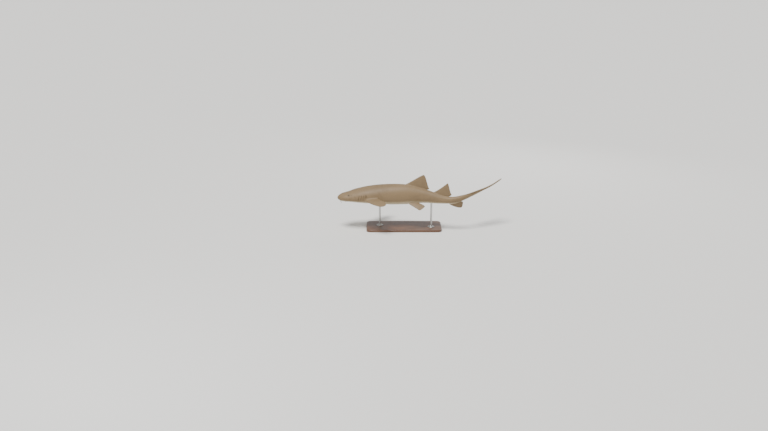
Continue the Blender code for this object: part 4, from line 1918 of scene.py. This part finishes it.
@dataclass(frozen=True)
class EyeFinish:
    """Wet eye with a dark upright pupil in a grey-gold iris. Sizes are shares of the radius."""

    pupil: Shade = (8, 8, 9)
    iris: Shade = (104, 88, 60)
    iris_dark: Shade = (44, 36, 27)
    white: Shade = (70, 60, 50)
    pupil_half: Pair = (0.22, 0.40)
    iris_edge: Pair = (0.66, 0.78)
    white_edge: Pair = (0.84, 0.90)

    def build(self, groups: EffectGroups) -> Material:
        """Make the material.

        Args:
            groups: the shared node groups.

        Returns:
            The material.
        """
        made, sheet, shader = new_material("eye")
        along, rise = sheet.attribute("gaze_along"), sheet.attribute("gaze_rise")
        radius = sheet.length(along, rise)
        slit = sheet.plus(*(sheet.math("POWER", sheet.math("DIVIDE", gaze, half), 2.0)
                            for gaze, half in zip((along, rise), self.pupil_half)))
        turn = sheet.math("ARCTAN2", rise, along)
        fibres = sheet.noise(sheet.joined(sheet.times(turn, 9.0), sheet.times(radius, 2.5)), 2.2, 4.0, 0.65)
        flecks = sheet.effect(groups.mottling, Vector=sheet.place(), Scale=90.0, Contrast=2.0)
        colour = linear(self.iris_dark)
        for mask, tone in ((sheet.spread(fibres, 0.35, 0.7), self.iris),
                           (sheet.times(flecks, 0.35), self.iris_dark),
                           (sheet.spread(radius, *self.iris_edge), self.iris_dark),
                           (sheet.spread(radius, *self.white_edge), self.white),
                           (sheet.spread(slit, 1.25, 0.85), self.pupil)):
            colour = sheet.mix(mask, colour, linear(tone))
        sheet.fill(shader, Base_Color=colour, Roughness=0.30, Coat_Weight=0.7, Coat_Roughness=0.03)
        return made


@dataclass(frozen=True)
class WalnutFinish:
    """Dark walnut board under a satin varnish. Scales are in repeats to a metre."""

    early: Shade = (112, 76, 50)
    late: Shade = (62, 38, 25)
    pore: Shade = (36, 22, 15)
    dust: Shade = (176, 168, 156)
    heart: Row = (0.0, 0.07, 0.30)
    heart_turn: Row = (0.05, 0.03, 0.035)
    rings: float = 105.0
    warp: float = 0.05
    warp_scale: Row = (1.3, 6.0, 6.0)
    drift_scale: Row = (0.6, 3.0, 3.0)
    streak_scale: Row = (4.0, 240.0, 240.0)
    pore_scale: Row = (26.0, 900.0, 900.0)
    pore_depth: float = 0.00012

    def growth_rings(self, sheet: Sheet, place: NodeSocket) -> NodeSocket:
        """Dark late wood of the rings round the heart of the tree.

        Args:
            sheet: the material's tree.
            place: object coordinates.

        Returns:
            A mask.
        """
        turned = sheet.fill(sheet.node("ShaderNodeMapping"), Vector=place, Location=self.heart,
                            Rotation=self.heart_turn)
        _, across, depth = sheet.split(turned.outputs[0])
        warp = sheet.noise(sheet.scaled(place, self.warp_scale), 1.0, 3.0, 0.5)
        radius = sheet.length(sheet.plus(across, sheet.times(warp, self.warp)), depth)
        drift = sheet.times(sheet.noise(sheet.scaled(place, self.drift_scale), 1.0, 2.0), 3.0)
        ring = sheet.math("FRACT", sheet.plus(sheet.times(radius, self.rings), drift))
        return sheet.times(sheet.spread(ring, 0.10, 0.92), sheet.spread(ring, 1.0, 0.93))

    def build(self, groups: EffectGroups) -> Material:
        """Make the material.

        Args:
            groups: the shared node groups.

        Returns:
            The material.
        """
        made, sheet, shader = new_material("base_wood")
        place = sheet.place()
        clouds = sheet.effect(groups.mottling, Vector=place, Scale=5.0, Contrast=2.0)
        streak = sheet.noise(sheet.scaled(place, self.streak_scale), 1.0, 4.0, 0.6)
        pores = sheet.spread(sheet.noise(sheet.scaled(place, self.pore_scale), 1.0, 2.0), 0.62, 0.72)
        colour = linear(self.early)
        for mask, tone in ((sheet.times(self.growth_rings(sheet, place), 0.52), self.late),
                           (sheet.spread(streak, 0.45, 0.72, 0.0, 0.55), self.late),
                           (sheet.times(clouds, 0.4), self.late), (sheet.times(pores, 0.8), self.pore),
                           (sheet.effect(groups.dust, Vector=place, Amount=0.06), self.dust)):
            colour = sheet.mix(mask, colour, linear(tone))
        sheet.fill(shader, Base_Color=colour, Roughness=sheet.spread(clouds, 0.2, 0.9, 0.30, 0.40),
                   Coat_Weight=0.35, Coat_Roughness=0.16,
                   Normal=sheet.bump(sheet.minus(1.0, pores), self.pore_depth, 0.6))
        return made


@dataclass(frozen=True)
class SteelFinish:
    """Brushed stainless steel, brushed along the rods and round the feet."""

    metal: Shade = (196, 196, 194)
    worn: Shade = (150, 148, 144)
    dust: Shade = (170, 165, 156)
    brush_scale: Row = (900.0, 900.0, 26.0)
    brush_depth: float = 0.00008

    def build(self, groups: EffectGroups) -> Material:
        """Make the material.

        Args:
            groups: the shared node groups.

        Returns:
            The material.
        """
        made, sheet, shader = new_material("rod_steel")
        place = sheet.place()
        brushed = sheet.noise(sheet.scaled(place, self.brush_scale), 1.0, 3.0, 0.6)
        marks = sheet.effect(groups.mottling, Vector=place, Scale=26.0, Contrast=2.2)
        colour = sheet.mix(sheet.times(marks, 0.5), linear(self.metal), linear(self.worn))
        colour = sheet.mix(sheet.effect(groups.dust, Vector=place, Amount=0.10), colour, linear(self.dust))
        rough = sheet.plus(sheet.spread(brushed, 0.3, 0.7, 0.22, 0.36), sheet.times(marks, 0.08))
        sheet.fill(shader, Base_Color=colour, Metallic=1.0, Roughness=rough,
                   Normal=sheet.bump(brushed, self.brush_depth, 0.5))
        return made


@dataclass(frozen=True)
class FloorFinish:
    """Matt pale studio floor."""

    colour: Shade = (226, 225, 222)
    clouds: Row = (0.5, 0.5, 0.5, 1.0)

    def build(self, groups: EffectGroups) -> Material:
        """Make the material.

        Args:
            groups: the shared node groups.

        Returns:
            The material.
        """
        made, sheet, shader = new_material("studio_floor")
        clouds = sheet.effect(groups.mottling, Vector=sheet.place(), Scale=1.5, Contrast=1.0)
        colour = sheet.mix(sheet.times(clouds, 0.04), linear(self.colour), self.clouds)
        sheet.fill(shader, Base_Color=colour, Roughness=0.85)
        return made


# ---- eyes
@dataclass
class Eye:
    """One eyeball, in the place of its frame node, with a slightly domed cornea."""

    side: Side
    segments: int = 96
    rings: int = 64
    dome: float = 0.03
    dome_flat: float = 0.15
    dome_width: float = 0.32

    @property
    def node(self) -> str:
        """Name of the frame's node."""
        return "eye_" + self.side.label

    def centre(self) -> Array:
        """World place of the middle of the eyeball."""
        low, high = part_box(self.node)
        return (np.array(low) + np.array(high)) / 2

    def build(self, spine: Spine, lids: EyeLids, finish: Material) -> Object:
        """Make the eyeball.

        Args:
            spine: pose of the body.
            lids: the lids, which say where the eye looks.
            finish: its material.

        Returns:
            The piece.
        """
        low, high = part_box(self.node)
        radius = (high[2] - low[2]) / 2
        out, back, across = lids.axes(spine, self.centre(), self.side.value)
        work = bmesh.new()
        bmesh.ops.create_uvsphere(work, u_segments=self.segments, v_segments=self.rings, radius=1.0)
        mesh = mesh_from(work, "eyeball")
        unit = points_of(mesh)
        turned = unit[:, :1] * back + unit[:, 1:2] * across + unit[:, 2:] * out
        off_axis = np.arccos(np.clip(unit[:, 2], -1, 1))
        cornea = bump(np.maximum(off_axis - self.dome_flat, 0.0), self.dome_width)
        move_points(mesh, self.centre() + turned * (radius * (1.0 + self.dome * cornea))[:, None])
        save_attribute(mesh, "gaze_along", unit[:, 0])
        save_attribute(mesh, "gaze_rise", unit[:, 1])
        face_outwards(mesh)
        mesh.shade_smooth()
        mesh.materials.append(finish)
        return on_frame("eyeball_" + self.side.label, mesh, Finish.EYE, self.node)


# ---- stand
def circle_points(steps: int, radius: float) -> list[Pair]:
    """Points evenly spaced on a circle round zero."""
    turns = (2 * math.pi * k / steps for k in range(steps))
    return [(radius * math.cos(turn), radius * math.sin(turn)) for turn in turns]


def lathe(section: Sequence[Pair], steps: int, centre: Pair, lift: float) -> Mesh:
    """A closed ring of a section turned round an upright axis.

    Args:
        section: (radius, height) corners, round the section.
        steps: number of steps round.
        centre: place of the axis.
        lift: height of the section's zero.

    Returns:
        The mesh.
    """
    rings = [[(centre[0] + r * x, centre[1] + r * y, lift + z) for r, z in section]
             for x, y in circle_points(steps, 1.0)]
    return lofted_mesh("turned", np.array(rings), looped=True)


def rounded(corner: Pair, radius: float, start: float, end: float, steps: int = 6) -> list[Pair]:
    """Points of an arc in a profile, about its centre, between two angles in degrees."""
    angles = [math.radians(start + (end - start) * i / steps) for i in range(steps + 1)]
    return [(corner[0] + radius * math.cos(a), corner[1] + radius * math.sin(a)) for a in angles]


class ShapeTree:
    """A geometry node tree with named inputs, run once to make a plain mesh."""

    def __init__(self, name: str, **inputs: tuple[str, object]) -> None:
        """Make the tree's sockets.

        Args:
            name: name of the tree.
            inputs: kind of socket and value of each input, with _ for a space in its name.
        """
        self.tree = bpy.data.node_groups.new(name, "GeometryNodeTree")
        self.values = {}
        for key, (kind, value) in inputs.items():
            socket = self.tree.interface.new_socket(key.replace("_", " "), in_out="INPUT",
                                                    socket_type="NodeSocket" + kind)
            if value is not None:
                self.values[socket.identifier] = value
        self.tree.interface.new_socket("Geometry", in_out="OUTPUT", socket_type="NodeSocketGeometry")
        self.sheet = Sheet(self.tree)
        self.inputs = self.sheet.node("NodeGroupInput").outputs

    def run(self, source: Mesh, shape: NodeSocket, finish: Material) -> Mesh:
        """End the tree with real geometry in its finish, and run it on a source mesh.

        Args:
            source: mesh that the tree is put on.
            shape: the socket that holds the shape.
            finish: its material.

        Returns:
            The plain mesh.
        """
        sheet = self.sheet
        real = sheet.fill(sheet.node("GeometryNodeRealizeInstances"), Geometry=shape)
        dressed = sheet.fill(sheet.node("GeometryNodeSetMaterial"), Geometry=real.outputs[0], Material=finish)
        sheet.fill(sheet.node("NodeGroupOutput"), Geometry=dressed.outputs[0])
        item = new_object(source.name, source)
        modifier = item.modifiers.new("shape", "NODES")
        modifier.node_group = self.tree
        for identifier, value in self.values.items():
            modifier[identifier] = value
        mesh = baked(item)
        bpy.data.objects.remove(item)
        return mesh


@dataclass
class StandBoard:
    """The flat base: a board with round corners and an eased edge."""

    corner: float = 0.060
    edge: float = 0.006
    foot_edge: float = 0.0012
    corner_steps: int = 20
    edge_steps: int = 8

    def outline(self, size: Pair, inset: float) -> list[Pair]:
        """Corners of the board's outline, moved inwards.

        Args:
            size: length and width of the board.
            inset: how far they are moved.

        Returns:
            Corners about the board's middle.
        """
        half = (size[0] / 2 - self.corner, size[1] / 2 - self.corner)
        points = []
        for quarter, (sx, sy) in enumerate(((1, 1), (-1, 1), (-1, -1), (1, -1))):
            for i in range(self.corner_steps + 1):
                turn = math.pi / 2 * (quarter + i / self.corner_steps)
                reach = self.corner - inset
                points.append((sx * half[0] + reach * math.cos(turn), sy * half[1] + reach * math.sin(turn)))
        return points

    def build(self, finish: Material) -> Object:
        """Make the board over its frame node.

        Args:
            finish: its material.

        Returns:
            The piece.
        """
        low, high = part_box("stand_base")
        size = (high[0] - low[0], high[1] - low[1])
        middle = ((high[0] + low[0]) / 2, (high[1] + low[1]) / 2)
        levels = [(self.foot_edge, low[2]), (0.0, low[2] + self.foot_edge)]
        for i in range(self.edge_steps + 1):
            turn = math.pi / 2 * i / self.edge_steps
            levels.append((self.edge * (1 - math.cos(turn)), high[2] - self.edge * (1 - math.sin(turn))))
        rings = np.array([[(middle[0] + x, middle[1] + y, z) for x, y in self.outline(size, inset)]
                          for inset, z in levels])
        mesh = lofted_mesh("base_board", rings)
        shade(mesh)
        mesh.materials.append(finish)
        return on_frame("stand_board", mesh, Finish.WOOD, "stand_base")


@dataclass
class Screw:
    """A button-head screw with a six-sided socket, its underside at zero."""

    radius: float = 0.0042
    height: float = 0.0022
    foot_radius: float = 0.98
    sunk: float = 0.0004
    dome: Row = (0.0, 22.0, 44.0, 60.0)
    socket: float = 0.0018
    socket_levels: Pair = (0.97, 0.35)
    steps: int = 24
    crease: float = 30.0

    def build(self) -> Mesh:
        """Make the mesh of one screw.

        Returns:
            The mesh.
        """
        levels = [(self.radius * self.foot_radius, -self.sunk)]
        levels += [(self.radius * math.cos(a), self.height * math.sin(a)) for a in np.radians(self.dome)]
        rings = [[(x, y, z) for x, y in circle_points(self.steps, radius)] for radius, z in levels]
        for level in self.socket_levels:
            ring = []
            for k, (x, y) in enumerate(circle_points(self.steps, self.socket)):
                turn = 2 * math.pi * k / self.steps
                flat = math.cos((turn % (math.pi / 3)) - math.pi / 6)
                ring.append((x / flat, y / flat, self.height * level))
            rings.append(ring)
        return lofted_mesh("screw", np.array(rings))


@dataclass
class StandPost:
    """One rod with the round foot that screws it to the board."""

    name: str
    sides: int = 72
    into_skin: float = 0.006
    play: float = 0.0002
    plate: float = 0.008
    plate_round: float = 0.002
    neck: Pair = (0.019, 0.024)
    neck_fillet: float = 0.005
    neck_round: float = 0.0015
    ease: float = 0.0006
    screw: Screw = field(default_factory=Screw)
    screw_count: int = 4
    screw_circle: float = 0.0325
    merge: float = 1e-6

    def place(self) -> tuple[Pair, float]:
        """Axis and radius of the rod, from its frame node."""
        low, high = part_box("stand_rod_" + self.name)
        return ((low[0] + high[0]) / 2, (low[1] + high[1]) / 2), (high[0] - low[0]) / 2

    def rod(self, finish: Material) -> Object:
        """The rod: a circle swept up a line, ending just inside the skin.

        Args:
            finish: its material.

        Returns:
            The piece.
        """
        low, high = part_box("stand_rod_" + self.name)
        (x, y), radius = self.place()
        shape = ShapeTree("swept rod", Start=("Vector", (x, y, low[2])),
                          End=("Vector", (x, y, high[2] + self.into_skin)),
                          Radius=("Float", radius), Sides=("Int", self.sides))
        sheet, inputs = shape.sheet, shape.inputs
        line = sheet.fill(sheet.node("GeometryNodeCurvePrimitiveLine"), Start=inputs["Start"],
                          End=inputs["End"])
        circle = sheet.fill(sheet.node("GeometryNodeCurvePrimitiveCircle"), Resolution=inputs["Sides"],
                            Radius=inputs["Radius"])
        sweep = sheet.fill(sheet.node("GeometryNodeCurveToMesh"), Curve=line.outputs[0],
                           Profile_Curve=circle.outputs[0], Fill_Caps=True)
        mesh = shape.run(bpy.data.meshes.new("rod_source"), sweep.outputs[0], finish)
        return self.carried("post_" + self.name, mesh, "stand_rod_" + self.name)

    def foot(self, finish: Material) -> Object:
        """The round foot: a plate with eased edges and a filleted neck.

        Args:
            finish: its material.

        Returns:
            The piece.
        """
        low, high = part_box("stand_flange_" + self.name)
        centre, rod_radius = self.place()
        outer, inner = (high[0] - low[0]) / 2, rod_radius + self.play
        wide, tall = self.neck
        section = [(inner, 0.0), (outer - self.ease, 0.0), (outer, self.ease)]
        section += rounded((outer - self.plate_round, self.plate - self.plate_round), self.plate_round, 0, 90)
        section += rounded((wide + self.neck_fillet, self.plate + self.neck_fillet), self.neck_fillet,
                           270, 180)
        section += rounded((wide - self.neck_round, tall - self.neck_round), self.neck_round, 0, 90)
        section += [(inner + self.ease, tall), (inner, tall - self.ease)]
        mesh = lathe(section, self.sides, centre, low[2])
        mesh.materials.append(finish)
        return self.carried("foot_" + self.name, mesh, "stand_flange_" + self.name)

    def screws(self, finish: Material) -> Object:
        """Socket screws on a circle round the neck, each turned by chance.

        Args:
            finish: its material.

        Returns:
            The piece.
        """
        low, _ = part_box("stand_flange_" + self.name)
        (x, y), _ = self.place()
        shape = ShapeTree("screw circle", Geometry=("Geometry", None), Count=("Int", self.screw_count),
                          Circle_Radius=("Float", self.screw_circle),
                          Centre=("Vector", (x, y, low[2] + self.plate)), Seed=("Int", 7))
        sheet, inputs = shape.sheet, shape.inputs
        circle = sheet.fill(sheet.node("GeometryNodeMeshCircle", fill_type="NONE"), Vertices=inputs["Count"],
                            Radius=inputs["Circle Radius"])
        shift = sheet.fill(sheet.node("GeometryNodeTransform"), Geometry=circle.outputs[0],
                           Translation=inputs["Centre"], Rotation=(0.0, 0.0, math.radians(45)))
        turn = sheet.fill(sheet.node("FunctionNodeRandomValue", data_type="FLOAT"), Seed=inputs["Seed"])
        turn.inputs[3].default_value = math.pi / 3
        spin = sheet.fill(sheet.node("ShaderNodeCombineXYZ"), Z=turn.outputs[1])
        placed = sheet.fill(sheet.node("GeometryNodeInstanceOnPoints"), Points=shift.outputs[0],
                            Instance=inputs["Geometry"], Rotation=spin.outputs[0])
        mesh = shape.run(self.screw.build(), placed.outputs[0], finish)
        return self.carried("screws_" + self.name, mesh, crease=self.screw.crease)

    def carried(self, name: str, mesh: Mesh, *nodes: str, crease: float = CREASE) -> Object:
        """Put a finished mesh into the scene on the frame.

        Args:
            name: its name after the stand's.
            mesh: its mesh, in place.
            crease: angle in degrees over which an edge is sharp.
            nodes: nodes that it stands for, or none.

        Returns:
            The piece.
        """
        face_outwards(mesh, self.merge)
        shade(mesh, crease)
        return on_frame("stand_" + name, mesh, Finish.STEEL, *nodes)


# ---- studio
@dataclass(frozen=True)
class SoftLamp:
    """A soft rectangular light: where it hangs, its two sides and its power in watts."""

    name: str
    place: Row
    size: Pair
    power: float
    tint: Row

    def hang(self, target: Row) -> None:
        """Put the light into the scene, pointed at a target.

        Args:
            target: the place that it lights.
        """
        light = bpy.data.lights.new(self.name, "AREA")
        light.shape = "RECTANGLE"
        light.size, light.size_y = self.size
        light.energy = self.power
        light.color = self.tint
        item = linked(self.name, light)
        item.location = self.place
        item.rotation_euler = facing(Vector(target) - Vector(self.place))


def linked(name: str, data: ID) -> Object:
    """An object for a light or camera, linked to the scene.

    Args:
        name: its name.
        data: its light or camera.

    Returns:
        The object.
    """
    item = bpy.data.objects.new(name, data)
    bpy.context.scene.collection.objects.link(item)
    return item


def facing(way: Vector) -> Euler:
    """The turn that points a light or camera a certain way."""
    return way.to_track_quat("-Z", "Y").to_euler()


@dataclass
class Studio:
    """Plain pale floor, soft light from above and the camera."""

    elevation: float = 17.0
    distance: float = 11.0
    aim: Row = (-0.266, 0.0, 0.169)
    lens: float = 38.58
    floor_radius: float = 900.0
    sky_from: Row = (-0.18, -0.30, 1.0)
    sky_angle: float = 24.0
    sky_power: float = 4.1
    sky_tint: Row = (1.0, 0.99, 0.97)
    lamps: tuple[SoftLamp, ...] = (
        SoftLamp("fill", (-3.2, -5.0, 2.4), (3.0, 2.4), 45.0, (0.96, 0.98, 1.0)),
        SoftLamp("rim", (2.6, 4.4, 3.0), (3.0, 2.0), 45.0, (1.0, 0.98, 0.96)),
    )
    lit: Row = (0.1, 0.0, 0.4)
    room_colour: Row = (0.97, 0.98, 1.0, 1.0)
    room_power: float = 0.52

    def floor(self, finish: Material) -> None:
        """A wide level floor.

        Args:
            finish: its material.
        """
        work = bmesh.new()
        bmesh.ops.create_circle(work, cap_ends=True, segments=96, radius=self.floor_radius)
        mesh = mesh_from(work, "studio_floor")
        mesh.materials.append(finish)
        new_object("studio_floor", mesh)

    def lights(self) -> None:
        """A wide soft light from overhead, and two weak ones in a pale room."""
        sky = bpy.data.lights.new("overhead", "SUN")
        sky.angle = math.radians(self.sky_angle)
        sky.energy = self.sky_power
        sky.color = self.sky_tint
        linked("overhead", sky).rotation_euler = facing(-Vector(self.sky_from))
        for lamp in self.lamps:
            lamp.hang(self.lit)
        world = bpy.data.worlds.new("room")
        bpy.context.scene.world = world
        world.use_nodes = True
        nodes = world.node_tree.nodes
        background = nodes.get("Background") or nodes.new("ShaderNodeBackground")
        Sheet(world.node_tree).fill(background, Color=self.room_colour, Strength=self.room_power)

    def camera(self) -> None:
        """The camera, to the left of the animal and a little above it."""
        data = bpy.data.cameras.new("camera")
        data.lens = self.lens
        data.sensor_width = 36.0
        item = linked("camera", data)
        tilt = math.radians(self.elevation)
        away = Vector((0.0, -math.cos(tilt), math.sin(tilt)))
        item.location = Vector(self.aim) + away * self.distance
        item.rotation_euler = facing(-away)
        bpy.context.scene.camera = item


# ---- whole model
def report(item: Object) -> None:
    """Log one finished piece."""
    item.data.calc_loop_triangles()
    LOG.info("%s: %d triangles", item.name, len(item.data.loop_triangles))


def main() -> None:
    """Build the shark, its stand and the studio."""
    logging.basicConfig(level=logging.INFO, format="%(name)s: %(message)s")
    groups = EffectGroups(mottling_group(), pebbling_group(), dust_group())
    skin_finish, eye_finish, wood_finish, steel_finish = (
        finish.build(groups) for finish in (SkinFinish(), EyeFinish(), WalnutFinish(), SteelFinish()))
    spine, form, lids = Spine(), BodyForm(), EyeLids()
    eyes = {side: Eye(side) for side in Side}
    skin = SharkSkin(spine, form, Barbel(), HeadRelief(), lids, Spiracle(),
                     {side: eye.centre() for side, eye in eyes.items()})
    report(skin.build(skin_finish))
    for eye in eyes.values():
        report(eye.build(spine, lids, eye_finish))
    report(StandBoard().build(wood_finish))
    for name in ("front", "rear"):
        post = StandPost(name)
        for piece in (post.rod(steel_finish), post.foot(steel_finish), post.screws(steel_finish)):
            report(piece)
    studio = Studio()
    studio.floor(FloorFinish().build(groups))
    studio.lights()
    studio.camera()


if __name__ == "__main__":
    main()
